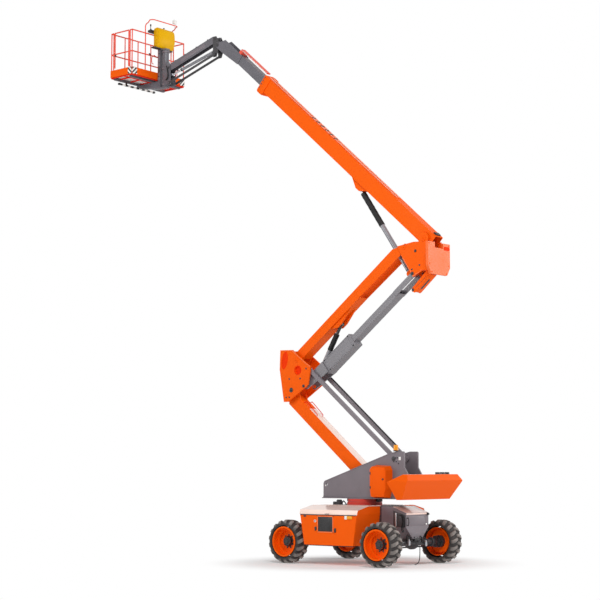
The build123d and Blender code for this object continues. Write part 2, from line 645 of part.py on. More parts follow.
# ---------------------------------------------------------------- upper arm
UPPER_PLANE = beam_plane(UPPER_FOOT, UPPER_ANGLE)
UPPER_LOW, UPPER_HIGH = -20.0, 195.0
TROUGH = 1600.0  # the open-topped stretch that the main boom and its cylinder lie in
RISER_EYE = (1327.0, -69.0)
CYLINDER_HALF = 65.0
ROD_EYE_HALF = 40.0
GUSSET_LANE = (67.0, 92.0)  # the plates below the main boom that hold the lift cylinder's eye
with BuildPart() as upper_riser:
    closed = UPPER_LENGTH - TROUGH
    span(UPPER_PLANE, 80, closed, UPPER_LOW, UPPER_HIGH, FORK_LANE[1], RISER_WALL)
    cheeks(
        UPPER_PLANE,
        FORK_LANE,
        [(closed - 1, UPPER_LOW), (UPPER_LENGTH, -60), (UPPER_LENGTH, 60), (UPPER_LENGTH - 285, UPPER_HIGH), (closed - 1, UPPER_HIGH)],
        discs=[(UPPER_LENGTH, 0, 75)],
    )
    cheeks(UPPER_PLANE, FORK_LANE, [(0, -60), (120, UPPER_LOW), (120, UPPER_HIGH), (40, UPPER_HIGH), (-50, 60)], discs=[(0, 0, 75)])
    cheeks(UPPER_PLANE, FORK_LANE, discs=[(0, 0, PIN_HOLE), (UPPER_LENGTH, 0, PIN_HOLE)], mode=Mode.SUBTRACT)
    # the cylinder's gusset
    eye_x, eye_y = RISER_EYE
    cheeks(
        UPPER_PLANE,
        (ROD_EYE_HALF + RUN_GAP, CYLINDER_HALF - 5),
        [(eye_x - 60, eye_y - 30), (eye_x + 60, eye_y - 30), (eye_x + 260, UPPER_LOW), (eye_x - 240, UPPER_LOW)],
    )
    # the slot that the cylinder's eye lies in, and the one above that takes the main boom's gusset when it is lowered
    slab(
        UPPER_PLANE,
        ROD_EYE_HALF + RUN_GAP,
        [(eye_x - 110, UPPER_LOW - 1), (eye_x + 110, UPPER_LOW - 1), (eye_x + 110, UPPER_LOW + 20), (eye_x - 110, UPPER_LOW + 20)],
        mode=Mode.SUBTRACT,
    )
    slab(
        UPPER_PLANE,
        GUSSET_LANE[1] + SIDE_GAP,
        [(closed - 550, UPPER_HIGH - 20), (closed + 1, UPPER_HIGH - 20), (closed + 1, UPPER_HIGH + 1), (closed - 550, UPPER_HIGH + 1)],
        mode=Mode.SUBTRACT,
    )
finish(upper_riser, "upper_riser")

LINK_PLANE = beam_plane(LINK_FOOT, UPPER_ANGLE)
LINK_HALF = 65.0
RISER_BASE = (383.0, 69.0)
BOX_START, BOX_END = 620.0, 1620.0
with BuildPart() as upper_link:
    span(LINK_PLANE, BOX_END - RISER_WALL, UPPER_LENGTH - 560, -LINK_HALF, LINK_HALF, LINK_LANE[0] - 10, RISER_WALL)
    # a deeper stretch, open above, in which the riser cylinder lies
    slab(LINK_PLANE, LINK_LANE[0], [(BOX_START, -150), (BOX_END, -150), (BOX_END, 150), (BOX_START, 150)])
    deep = [(BOX_START - 1, -150 + RISER_WALL), (BOX_END - RISER_WALL, -150 + RISER_WALL), (BOX_END - RISER_WALL, 151), (BOX_START - 1, 151)]
    slab(LINK_PLANE, LINK_LANE[0] - RISER_WALL, deep, mode=Mode.SUBTRACT)
    for start, end in ((0, BOX_START + 60), (UPPER_LENGTH - 640, UPPER_LENGTH)):
        cheeks(
            LINK_PLANE,
            LINK_LANE if start == 0 else (LINK_LANE[0] - 10, LINK_LANE[0] + 15),
            [(start, -60), (end, -60), (end, 60), (start, 60)] if start else [(0, -60), (end, -140), (end, 140), (200, 140), (0, 60)],
            discs=[(start if start == 0 else end, 0, 65)],
        )
    cheeks(LINK_PLANE, (60, LINK_LANE[1]), discs=[(0, 0, PIN_HOLE), (UPPER_LENGTH, 0, PIN_HOLE)], mode=Mode.SUBTRACT)
    base_x, base_y = RISER_BASE
    cheeks(LINK_PLANE, (CYLINDER_HALF + RUN_GAP, LINK_LANE[0]), discs=[(base_x, base_y, 45)])
finish(upper_link, "upper_link")

with BuildPart() as upper_knuckle:
    # outline counted from the upper riser's top pin
    crown_plane = beam_plane(UPPER_TOP, 0)
    crown = [(-190, 30), (240, 90), (720, 70), (720, -540), (460, -540), (230, -660), (-50, -230)]
    cheeks(crown_plane, CROWN_LANE, crown, discs=[(*BOOM_PIVOT, 130)])
    cheeks(crown_plane, (FORK_LANE[0], CROWN_LANE[0]), discs=[(0, 0, FOOT_PIN)])
    link_step = shifted(PIN_LINK, (-PIN_UP[0], -PIN_UP[1]))
    cheeks(crown_plane, (LINK_LANE[0] - 10, CROWN_LANE[0]), discs=[(*link_step, FOOT_PIN)])
    cheeks(crown_plane, (MAIN_HALF + RUN_GAP, CROWN_LANE[0]), discs=[(*BOOM_PIVOT, 60)])
    bracket = [(-10, -600), (60, -640), (340, -520), (330, -330), (290, -330), (30, -510)]
    cheeks(crown_plane, (CYLINDER_HALF + RUN_GAP, CYLINDER_HALF + 22), bracket, discs=[(*LIFT_FOOT, 55)])
    slab(crown_plane, CROWN_LANE[0], [(300, -480), (330, -480), (330, -335), (300, -335)])
    # the hanging arms
    cheeks(crown_plane, (85, 110), [(540, -530), (640, -530), (640, -620), (205, -990), (140, -960), (140, -900)])
    slab(crown_plane, CROWN_LANE[0], [(460, -545), (720, -545), (720, -430), (690, -430), (690, -525), (460, -525)])
finish(upper_knuckle, "upper_knuckle")

COVER_THICK = 60.0
with BuildPart() as knuckle_cover:
    rear_x = UPPER_TOP[0] + 720
    with BuildSketch(Plane(origin=(SLEW_X + rear_x, 0, UPPER_TOP[1]), x_dir=(0, 1, 0), z_dir=(1, 0, 0))):
        with BuildLine():
            Polyline((-400, 40), (-400, -470), (-290, -640), (290, -640), (400, -470), (400, 40), close=True)
        make_face()
    extrude(amount=COVER_THICK)
    slot_low = MAIN_PIVOT[1] - 215
    slab(wall_plane(), MAIN_HALF + 15, [
            (rear_x - 1, slot_low),
            (rear_x + COVER_THICK + 1, slot_low),
            (rear_x + COVER_THICK + 1, UPPER_TOP[1] + 50),
            (rear_x - 1, UPPER_TOP[1] + 50),
        ], mode=Mode.SUBTRACT)
finish(knuckle_cover, "knuckle_cover")


SLEEVE_WALL = 4.0


def cylinder(name, foot, head, barrel_end, barrel_radius, rod_radius, rod_start, guard, half_eye):
    """A hydraulic cylinder between two pins: a barrel node, and a rod node with a guard tube over the barrel's end.

    barrel_end and rod_start are counted along the cylinder from its foot pin; guard holds the guard's start and its
    end's distance from the rod's eye, or None for a bare rod.
    """
    length = ((head[0] - foot[0]) ** 2 + (head[1] - foot[1]) ** 2) ** 0.5
    direction = Vector((head[0] - foot[0]) / length, 0, (head[1] - foot[1]) / length)
    start = Plane(origin=(SLEW_X + foot[0], 0, foot[1]), x_dir=(0, 1, 0), z_dir=direction)
    side_view = Plane(origin=start.origin, x_dir=direction, z_dir=(0, 1, 0))
    bore_start = barrel_radius * 1.2
    with BuildPart() as barrel:
        with BuildSketch(start.offset(barrel_radius * 0.5)):
            Circle(barrel_radius)
        extrude(amount=barrel_end - barrel_radius * 0.5)
        slab(side_view, half_eye, discs=[(0, 0, barrel_radius * 0.9)])
        with BuildSketch(start.offset(bore_start)):
            Circle(rod_radius + RUN_GAP)
        extrude(amount=barrel_end, mode=Mode.SUBTRACT)
    finish(barrel, f"{name}_barrel")
    with BuildPart() as rod:
        with BuildSketch(start.offset(rod_start)):
            Circle(rod_radius)
        extrude(amount=length - rod_start)
        if guard:
            guard_start, guard_length = guard[0], length - guard[1] - guard[0]
            guard_bore = barrel_radius + 2
            with BuildSketch(start.offset(guard_start)):
                Circle(guard_bore + SLEEVE_WALL)
            extrude(amount=guard_length)
            with BuildSketch(start.offset(guard_start)):
                Circle(guard_bore)
                Circle(rod_radius, mode=Mode.SUBTRACT)
            extrude(amount=guard_length - SLEEVE_WALL, mode=Mode.SUBTRACT)
        slab(side_view, ROD_EYE_HALF, discs=[(length, 0, rod_radius * 1.3)])
    finish(rod, f"{name}_rod")


riser_base = on_beam(LINK_FOOT, UPPER_ANGLE, *RISER_BASE)
riser_eye = on_beam(UPPER_FOOT, UPPER_ANGLE, *RISER_EYE)
cylinder("riser", riser_base, riser_eye, 670, 52, 36, 380, (580, 250), CYLINDER_HALF)

# ---------------------------------------------------------------- main boom and fly boom
MAIN_PLANE = beam_plane(MAIN_PIVOT, MAIN_ANGLE, -1)
MAIN_LOW, MAIN_HIGH, MAIN_WALL = -127.0, 208.0, 9.0
LIFT_HEAD = (2225.0, -228.0)
with BuildPart() as main_boom:
    span(MAIN_PLANE, -MAIN_HEEL, MAIN_LENGTH, MAIN_LOW, MAIN_HIGH, MAIN_HALF, MAIN_WALL)
    cheeks(MAIN_PLANE, (MAIN_HALF - MAIN_WALL, MAIN_HALF), discs=[(0, 0, 120)])
    slab(MAIN_PLANE, MAIN_HALF + 12, [(MAIN_LENGTH - 60, MAIN_LOW - 12), (MAIN_LENGTH, MAIN_LOW - 12), (MAIN_LENGTH, MAIN_HIGH + 12), (MAIN_LENGTH - 60, MAIN_HIGH + 12)])
    slab(
        MAIN_PLANE,
        MAIN_HALF - MAIN_WALL,
        [(MAIN_LENGTH - 61, MAIN_LOW + MAIN_WALL), (MAIN_LENGTH + 1, MAIN_LOW + MAIN_WALL), (MAIN_LENGTH + 1, MAIN_HIGH - MAIN_WALL), (MAIN_LENGTH - 61, MAIN_HIGH - MAIN_WALL)],
        mode=Mode.SUBTRACT,
    )
    head_x, head_y = LIFT_HEAD
    cheeks(
        MAIN_PLANE,
        GUSSET_LANE,
        [(head_x - 60, head_y - 40), (head_x + 60, head_y - 40), (head_x + 330, MAIN_LOW), (head_x - 260, MAIN_LOW)],
    )
    slab(MAIN_PLANE, 100, [(1200, MAIN_HIGH), (MAIN_LENGTH - 61, MAIN_HIGH), (MAIN_LENGTH - 61, MAIN_HIGH + 8), (1200, MAIN_HIGH + 8)])
    # the slot that the lift cylinder's eye and guard rise into
    slab(
        MAIN_PLANE,
        GUSSET_LANE[0],
        [(head_x - 725, MAIN_LOW - 1), (head_x + 105, MAIN_LOW - 1), (head_x + 105, MAIN_LOW + 20), (head_x - 725, MAIN_LOW + 20)],
        mode=Mode.SUBTRACT,
    )
finish(main_boom, "main_boom")

cylinder("lift", LIFT_BASE, on_beam(MAIN_PIVOT, MAIN_ANGLE, *LIFT_HEAD, lean=-1), 1440, 56, 38, 700, (1350, 150), CYLINDER_HALF)

FLY_HALF, FLY_LOW, FLY_HIGH, FLY_WALL = 100.0, -70.0, 150.0, 8.0
FLY_TAIL, FLY_NOSE = 2450.0, 7200.0
with BuildPart() as fly_boom:
    span(MAIN_PLANE, FLY_TAIL, FLY_NOSE, FLY_LOW, FLY_HIGH, FLY_HALF, FLY_WALL)
    # slide pads that ride inside the main boom
    for pad_x in (FLY_TAIL + 30, FLY_TAIL + 900):
        low = [(pad_x, MAIN_LOW + MAIN_WALL + RUN_GAP), (pad_x + 120, MAIN_LOW + MAIN_WALL + RUN_GAP), (pad_x + 120, FLY_LOW), (pad_x, FLY_LOW)]
        high = [(pad_x, FLY_HIGH), (pad_x + 120, FLY_HIGH), (pad_x + 120, MAIN_HIGH - MAIN_WALL - RUN_GAP), (pad_x, MAIN_HIGH - MAIN_WALL - RUN_GAP)]
        cheeks(MAIN_PLANE, (GUSSET_LANE[0] + 3, FLY_HALF - 5), low)
        slab(MAIN_PLANE, 60, high)
finish(fly_boom, "fly_boom")

FLY_TIP = (FLY_REACH, -JIB_PIVOT_DROP)
HEAD_LANE = (FLY_HALF - 15, FLY_HALF)
with BuildPart() as fly_head:
    tip_x, tip_y = FLY_TIP
    cheeks(
        MAIN_PLANE,
        (FLY_HALF, FLY_HALF + 12),
        [(FLY_NOSE - 30, FLY_LOW - 10), (tip_x - 250, tip_y - 60), (tip_x, tip_y - 60), (tip_x, tip_y + 60), (tip_x - 160, FLY_HIGH + 10), (FLY_NOSE - 30, FLY_HIGH + 10)],
        discs=[(tip_x, tip_y, 60)],
        holes=[(tip_x, tip_y, 40 + RUN_GAP)],
    )
    slab(MAIN_PLANE, FLY_HALF, [(FLY_NOSE, FLY_LOW), (FLY_NOSE + 20, FLY_LOW), (FLY_NOSE + 20, FLY_HIGH), (FLY_NOSE, FLY_HIGH)])
finish(fly_head, "fly_head")

with BuildPart() as power_track:
    track_start, track_end = MAIN_LENGTH + 60, FLY_NOSE + 130
    low, high = MAIN_HIGH + 22, MAIN_HIGH + 52
    slab(MAIN_PLANE, 60, [(track_start, low), (track_end, low), (track_end, high), (track_start, high)])
    # its foot on the fly boom's head plates
    foot_start, foot_end = FLY_NOSE + 30, FLY_NOSE + 110
    slab(MAIN_PLANE, FLY_HALF + 12, [(foot_start, FLY_HIGH + 10), (foot_end, FLY_HIGH + 10), (foot_end, low), (foot_start, low)])
finish(power_track, "power_track")

# ---------------------------------------------------------------- jib
JIB_TIP = on_beam(MAIN_PIVOT, MAIN_ANGLE, *FLY_TIP, lean=-1)
JIB_FOOT = shifted(JIB_TIP, JIB_UPPER)
JIB_LINK_FOOT = shifted(JIB_TIP, JIB_LOWER)
JIB_HEAD = beyond(JIB_FOOT, JIB_LENGTH, JIB_ANGLE, -1)
JIB_LINK_HEAD = beyond(JIB_LINK_FOOT, JIB_LENGTH, JIB_ANGLE, -1)
JIB_HALF, JIB_WALL, JIB_DEPTH = 75.0, 10.0, 85.0
JIB_CHEEK = (JIB_HALF + SIDE_GAP, 95.0)
JIB_LINK_LANE = (JIB_CHEEK[1] + SIDE_GAP, 118.0)
JIB_WEB = 60.0
JIB_PIN, JIB_EYE = 25.0, 40.0
JIB_CYLINDER_FOOT = (-50.0, -270.0)  # from the jib beam's foot pin
JIB_CYLINDER_HEAD = (50.0, -170.0)  # from the jib beam's head pin

with BuildPart() as jib_base:
    base_plane = beam_plane(JIB_TIP, 0)
    cheeks(
        base_plane,
        JIB_CHEEK,
        [(-160, 150), (-150, 225), (-50, 225), (60, 20), (50, -60), (-40, -280), (-140, -280), (-150, -150)],
    )
    slab(base_plane, FLY_HALF + 20, discs=[(0, 0, 40)])
    slab(base_plane, JIB_CHEEK[0], discs=[(0, 0, 52)])
    slab(base_plane, JIB_WEB, [(-70, -90), (0, -90), (30, 0), (0, 50), (-70, 50)])
    foot = shifted(JIB_UPPER, JIB_CYLINDER_FOOT)
    cheeks(base_plane, (JIB_EYE + RUN_GAP, JIB_WEB), [(-60, 40), (-60, -90), (foot[0], foot[1] - 38), (foot[0], foot[1] + 38)], discs=[(*foot, 38)])
    cheeks(base_plane, (JIB_WEB, JIB_CHEEK[0]), discs=[(*JIB_UPPER, JIB_PIN)])
    cheeks(base_plane, (JIB_CHEEK[1], JIB_LINK_LANE[1] + 4), discs=[(*JIB_LOWER, JIB_PIN)])
finish(jib_base, "jib_base")

JIB_PLANE = beam_plane(JIB_FOOT, JIB_ANGLE, -1)
with BuildPart() as jib_beam:
    # a channel that is open below, so that the jib's cylinder folds into it
    slab(
        JIB_PLANE,
        JIB_HALF,
        [(0, -JIB_DEPTH + 25), (40, -JIB_DEPTH), (JIB_LENGTH - 40, -JIB_DEPTH), (JIB_LENGTH, -JIB_DEPTH + 25), (JIB_LENGTH, 60), (JIB_LENGTH - 60, JIB_DEPTH), (60, JIB_DEPTH), (0, 60)],
        discs=[(0, 0, 60), (JIB_LENGTH, 0, 60)],
    )
    slab(
        JIB_PLANE,
        JIB_HALF - JIB_WALL,
        [(-90, -JIB_DEPTH - 1), (JIB_LENGTH + 90, -JIB_DEPTH - 1), (JIB_LENGTH + 90, 50), (JIB_LENGTH - 80, 50), (JIB_LENGTH - 80, JIB_DEPTH - JIB_WALL), (80, JIB_DEPTH - JIB_WALL), (80, 50), (-90, 50)],
        mode=Mode.SUBTRACT,
    )
    slab(JIB_PLANE, JIB_HALF - JIB_WALL, [(-90, -70), (75, -70), (75, 90), (-90, 90)], mode=Mode.SUBTRACT)
    slab(JIB_PLANE, JIB_HALF - JIB_WALL, [(JIB_LENGTH - 75, -70), (JIB_LENGTH + 90, -70), (JIB_LENGTH + 90, 90), (JIB_LENGTH - 75, 90)], mode=Mode.SUBTRACT)
    slab(JIB_PLANE, JIB_HALF + 1, discs=[(0, 0, JIB_PIN + RUN_GAP), (JIB_LENGTH, 0, JIB_PIN + RUN_GAP)], mode=Mode.SUBTRACT)
finish(jib_beam, "jib_beam")

with BuildPart() as jib_link:
    link_plane = beam_plane(JIB_LINK_FOOT, JIB_ANGLE, -1)
    cheeks(link_plane, JIB_LINK_LANE, [(0, -28), (JIB_LENGTH, -28), (JIB_LENGTH, 28), (0, 28)], discs=[(0, 0, 40), (JIB_LENGTH, 0, 40)])
    cheeks(link_plane, JIB_LINK_LANE, discs=[(0, 0, JIB_PIN + RUN_GAP), (JIB_LENGTH, 0, JIB_PIN + RUN_GAP)], mode=Mode.SUBTRACT)
finish(jib_link, "jib_link")

cylinder("jib", shifted(JIB_FOOT, JIB_CYLINDER_FOOT), shifted(JIB_HEAD, JIB_CYLINDER_HEAD), 1180, 38, 24, 500, None, JIB_EYE)

# ---------------------------------------------------------------- platform
ROTATOR_STEP = 200.0  # from the jib beam's head pin forward to the platform's turning axis
ROTATOR_X = JIB_HEAD[0] - ROTATOR_STEP
ROTATOR_RADIUS = 80.0
MOUNT_LOW, MOUNT_HIGH = JIB_HEAD[1] - 430.0, JIB_HEAD[1] + 490.0
with BuildPart() as platform_mount:
    mount_plane = beam_plane(JIB_HEAD, 0)
    link_step = (JIB_LOWER[0] - JIB_UPPER[0], JIB_LOWER[1] - JIB_UPPER[1])
    cheeks(mount_plane, JIB_CHEEK, [(45, -45), (45, 45), (-10, 70), (-150, 90), (-150, -430), (50, -430), (60, -350)])
    slab(mount_plane, JIB_CHEEK[0], [(-95, -430), (-95, 80), (-150, 200), (-200, 200), (-200, -430)])
    cheeks(mount_plane, (JIB_EYE + RUN_GAP, JIB_WEB), [(-100, -130), (-100, -260), (50, -202), (50, -138)], discs=[(*JIB_CYLINDER_HEAD, 32)])
    cheeks(mount_plane, (JIB_WEB, JIB_CHEEK[0]), discs=[(0, 0, JIB_PIN)])
    cheeks(mount_plane, (JIB_CHEEK[1], JIB_LINK_LANE[1] + 4), discs=[(*link_step, JIB_PIN)])
    with BuildSketch(Plane(origin=(SLEW_X + ROTATOR_X, 0, MOUNT_LOW), x_dir=(1, 0, 0), z_dir=(0, 0, 1))):
        Circle(ROTATOR_RADIUS)
    extrude(amount=MOUNT_HIGH - MOUNT_LOW)
finish(platform_mount, "platform_mount")

PLATFORM_GAP = 250.0  # from the turning axis to the platform's rear rail
REAR_RAIL_X = ROTATOR_X - PLATFORM_GAP
FRONT_RAIL_X = REAR_RAIL_X - PLATFORM_DEPTH
HALF_PLATFORM = PLATFORM_WIDTH / 2
FLOOR_TOP = JIB_HEAD[1] - 200.0
FLOOR_PLATE = 25.0
ARM_HALF = 70.0
with BuildPart() as platform_support:
    arm_plane = wall_plane()
    low, high = MOUNT_LOW - RUN_GAP, MOUNT_HIGH + RUN_GAP
    post_front, post_rear = REAR_RAIL_X + 45, REAR_RAIL_X + 125
    slab(
        arm_plane,
        ARM_HALF,
        [
            (ROTATOR_X + 70, low - 35),
            (ROTATOR_X + 70, low),
            (post_rear, low),
            (post_rear, high),
            (ROTATOR_X + 70, high),
            (ROTATOR_X + 70, high + 30),
            (post_front, high + 30),
            (post_front, FLOOR_TOP - FLOOR_PLATE - 60),
            (FRONT_RAIL_X + 60, FLOOR_TOP - FLOOR_PLATE - 60),
            (FRONT_RAIL_X + 60, FLOOR_TOP - FLOOR_PLATE - 120),
            (post_front, low - 35),
        ],
    )
    for beam_x in (REAR_RAIL_X - 120, FRONT_RAIL_X + 90):
        slab(arm_plane, HALF_PLATFORM - 60, [(beam_x - 30, FLOOR_TOP - FLOOR_PLATE - 60), (beam_x + 30, FLOOR_TOP - FLOOR_PLATE - 60), (beam_x + 30, FLOOR_TOP - FLOOR_PLATE), (beam_x - 30, FLOOR_TOP - FLOOR_PLATE)])
finish(platform_support, "platform_support")

with BuildPart() as platform_floor:
    with BuildSketch(Plane.XY.offset(FLOOR_TOP - FLOOR_PLATE)):
        with Locations((SLEW_X + (REAR_RAIL_X + FRONT_RAIL_X) / 2, 0)):
            Rectangle(PLATFORM_DEPTH, PLATFORM_WIDTH)
    extrude(amount=FLOOR_PLATE)
finish(platform_floor, "platform_floor")

GATE_HINGE_X, GATE_EDGE_X = REAR_RAIL_X - 110.0, FRONT_RAIL_X + 110.0
TUBE = RAIL_TUBE / 2
GATE_PIVOT_X = GATE_HINGE_X - 25
GATE_FOOT = FLOOR_TOP + 200
GATE_PIN = 8.0


def tube(start, end, radius=TUBE):
    """A round bar between two (x, y, z) points, x from the slewing axis."""
    first, last = Vector(SLEW_X + start[0], *start[1:]), Vector(SLEW_X + end[0], *end[1:])
    with BuildSketch(Plane(origin=first, z_dir=last - first)) as section:
        Circle(radius)
    extrude(section.sketch, amount=(last - first).length)


RAIL_LEVELS = (FLOOR_TOP + RAIL_HEIGHT - TUBE, FLOOR_TOP + RAIL_HEIGHT / 2)
with BuildPart() as platform_rails:
    rear, front, reach = REAR_RAIL_X - TUBE, FRONT_RAIL_X + TUBE, HALF_PLATFORM - TUBE
    for level in RAIL_LEVELS:
        tube((rear, -reach, level), (rear, reach, level))
        tube((front, -reach, level), (front, reach, level))
        tube((rear, reach, level), (front, reach, level))
        tube((rear, -reach, level), (GATE_HINGE_X + 20, -reach, level))
        tube((front, -reach, level), (GATE_EDGE_X - 20, -reach, level))
    posts = [(x, y) for x in (rear, front) for y in (-reach, -reach / 2, 0, reach / 2, reach)]
    posts += [(GATE_HINGE_X + 20, -reach), (GATE_EDGE_X - 20, -reach), ((rear + front) / 2, reach)]
    for x, y in posts:
        tube((x, y, FLOOR_TOP), (x, y, RAIL_LEVELS[0]), TUBE - 2)
    for x, y in ((rear, -reach), (rear, reach), (front, -reach), (front, reach)):
        with Locations((SLEW_X + x, y, RAIL_LEVELS[0])):
            Sphere(TUBE)
    # the gate's lower bracket and hinge pin
    bracket_z = GATE_FOOT - RUN_GAP - 20
    with BuildSketch(Plane.XY.offset(bracket_z)):
        with Locations((SLEW_X + GATE_PIVOT_X + 22, -reach)):
            Rectangle(50, 24)
        with Locations((SLEW_X + GATE_PIVOT_X, -reach)):
            Circle(12)
    extrude(amount=20)
    tube((GATE_PIVOT_X, -reach, bracket_z), (GATE_PIVOT_X, -reach, GATE_FOOT + 40), GATE_PIN)
finish(platform_rails, "platform_rails")

TOE_HEIGHT, TOE_PLATE = 150.0, 4.0
with BuildPart() as toe_boards:
    for low_x, high_x, low_y, high_y in (
        (REAR_RAIL_X, REAR_RAIL_X + TOE_PLATE, -HALF_PLATFORM, HALF_PLATFORM),
        (FRONT_RAIL_X - TOE_PLATE, FRONT_RAIL_X, -HALF_PLATFORM, HALF_PLATFORM),
        (FRONT_RAIL_X, REAR_RAIL_X, HALF_PLATFORM, HALF_PLATFORM + TOE_PLATE),
        (FRONT_RAIL_X, REAR_RAIL_X, -HALF_PLATFORM - TOE_PLATE, -HALF_PLATFORM),
    ):
        with BuildSketch(Plane.XY.offset(FLOOR_TOP - FLOOR_PLATE)):
            with Locations((SLEW_X + (low_x + high_x) / 2, (low_y + high_y) / 2)):
                Rectangle(high_x - low_x, high_y - low_y)
        extrude(amount=TOE_HEIGHT + FLOOR_PLATE)
finish(toe_boards, "toe_boards")

with BuildPart() as gate:
    for level in RAIL_LEVELS:
        tube((GATE_PIVOT_X, -reach, level), (GATE_EDGE_X + 25, -reach, level))
    for x in (GATE_PIVOT_X, GATE_EDGE_X + 25):
        tube((x, -reach, GATE_FOOT), (x, -reach, RAIL_LEVELS[0]))
    with BuildSketch(Plane.XY.offset(GATE_FOOT)):
        with Locations((SLEW_X + GATE_PIVOT_X, -reach)):
            Circle(GATE_PIN + RUN_GAP)
    extrude(amount=42, mode=Mode.SUBTRACT)
finish(gate, "gate")

with BuildPart() as console:
    slab(
        wall_plane(),
        400,
        [(REAR_RAIL_X + 20, FLOOR_TOP + 760), (REAR_RAIL_X + 120, FLOOR_TOP + 760), (REAR_RAIL_X + 120, FLOOR_TOP + 1250), (REAR_RAIL_X + 60, FLOOR_TOP + 1300), (REAR_RAIL_X + 20, FLOOR_TOP + 1300)],
    )
    slab(wall_plane(), 380, [(REAR_RAIL_X - 2, FLOOR_TOP + 900), (REAR_RAIL_X + 20, FLOOR_TOP + 900), (REAR_RAIL_X + 20, FLOOR_TOP + 1000), (REAR_RAIL_X - 2, FLOOR_TOP + 1000)])
finish(console, "console")

HOOP_RADIUS = 14.0
with BuildPart() as safety_bar:
    hoop_x, hoop_half, hoop_top = REAR_RAIL_X - TUBE, 470.0, FLOOR_TOP + 1560.0
    for y in (-hoop_half, hoop_half):
        tube((hoop_x, y, FLOOR_TOP + RAIL_HEIGHT), (hoop_x, y, hoop_top), HOOP_RADIUS)
    tube((hoop_x, -hoop_half, hoop_top), (hoop_x, hoop_half, hoop_top), HOOP_RADIUS)
    for y in (-hoop_half, hoop_half):
        with Locations((SLEW_X + hoop_x, y, hoop_top)):
            Sphere(HOOP_RADIUS)
finish(safety_bar, "safety_bar")
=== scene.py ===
"""An articulating boom lift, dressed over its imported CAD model.

Lengths are metres in the model's own frame: +X towards the counterweight, -Y the machine's left side, +Z up.
"""

from __future__ import annotations

import json
import logging
import math
from dataclasses import dataclass, field
from enum import Enum
from typing import Sequence

import bmesh
import bpy
import numpy as np
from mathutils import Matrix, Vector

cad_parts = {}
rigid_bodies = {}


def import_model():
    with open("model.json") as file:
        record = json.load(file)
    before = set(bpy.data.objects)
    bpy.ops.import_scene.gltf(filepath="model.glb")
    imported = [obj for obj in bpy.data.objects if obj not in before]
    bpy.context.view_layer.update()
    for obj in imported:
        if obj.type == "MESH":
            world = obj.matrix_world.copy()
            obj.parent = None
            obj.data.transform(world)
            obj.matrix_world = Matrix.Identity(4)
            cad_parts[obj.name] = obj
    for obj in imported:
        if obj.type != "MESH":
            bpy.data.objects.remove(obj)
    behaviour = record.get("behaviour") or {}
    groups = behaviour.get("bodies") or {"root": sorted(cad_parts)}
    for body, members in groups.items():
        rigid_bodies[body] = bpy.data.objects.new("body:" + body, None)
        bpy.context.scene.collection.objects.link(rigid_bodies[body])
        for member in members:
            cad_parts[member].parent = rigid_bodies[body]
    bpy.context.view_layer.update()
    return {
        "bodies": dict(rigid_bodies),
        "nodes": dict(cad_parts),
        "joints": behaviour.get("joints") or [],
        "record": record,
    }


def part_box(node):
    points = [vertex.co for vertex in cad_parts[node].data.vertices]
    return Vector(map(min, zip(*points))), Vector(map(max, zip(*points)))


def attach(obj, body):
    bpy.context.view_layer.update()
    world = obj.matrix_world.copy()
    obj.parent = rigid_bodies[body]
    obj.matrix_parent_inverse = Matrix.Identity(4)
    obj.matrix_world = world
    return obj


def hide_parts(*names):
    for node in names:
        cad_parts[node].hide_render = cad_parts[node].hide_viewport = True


LOG = logging.getLogger("boom_lift")
Point = Sequence[float]


# ---------------- nodes and colours
def linear(hex_code: str) -> tuple[float, float, float, float]:
    """Turns an sRGB hex value into a linear colour.

    Args:
        hex_code: six hex digits, with or without a leading hash sign.

    Returns:
        Red, green, blue and an opaque alpha. Each channel c is c/12.92 below 0.04045, else ((c+0.055)/1.055)^2.4.
    """
    digits = hex_code.lstrip("#")
    channels = np.array([int(digits[i : i + 2], 16) / 255 for i in (0, 2, 4)])
    levels = np.where(channels <= 0.04045, channels / 12.92, ((channels + 0.055) / 1.055) ** 2.4)
    return (float(levels[0]), float(levels[1]), float(levels[2]), 1.0)


def node(tree: bpy.types.NodeTree, kind: str, links: dict | None = None, **settings) -> bpy.types.Node:
    """Adds a node, sets it and links its inputs.

    Args:
        tree: the node tree.
        kind: the node's type, such as "ShaderNodeMath".
        links: input name or number to an output socket, or to a plain value.
        **settings: properties of the node itself.

    Returns:
        The new node.
    """
    made = tree.nodes.new(kind)
    for name, value in settings.items():
        setattr(made, name, value)
    for key, value in (links or {}).items():
        if isinstance(value, bpy.types.NodeSocket):
            tree.links.new(value, made.inputs[key])
        else:
            made.inputs[key].default_value = value
    return made


class Surface(Enum):
    """How a metal or moulded face was finished, as the size of its grain in metres and how deep it shows.

    The sprayed, cast and machined grains are drawn coarser than real ones, which are too fine to show.
    """

    SPRAYED = (0.012, 0.00008)
    CAST = (0.006, 0.0010)
    MACHINED = (0.0015, 0.0001)
    MOULDED = (0.003, 0.0003)


@dataclass(frozen=True)
class Finish:
    """What a piece is made of and how its face was made; its material is built once and shared."""

    name: str

    def lay(self, tree: bpy.types.NodeTree, shader: bpy.types.Node, place: bpy.types.NodeSocket) -> None:
        """Wires the finish into its shader.

        Args:
            tree: the material's node tree.
            shader: its principled shader.
            place: the object coordinates that lay out its pattern.
        """
        raise NotImplementedError

    def material(self) -> bpy.types.Material:
        """Gives the finish's material.

        Returns:
            The material of the finish's name, built when it is first asked for.
        """
        known = bpy.data.materials.get(self.name)
        if known is not None:
            return known
        made = bpy.data.materials.new(self.name)
        made.use_nodes = True
        tree = made.node_tree
        place = node(tree, "ShaderNodeTexCoord").outputs["Object"]
        self.lay(tree, tree.nodes["Principled BSDF"], place)
        return made


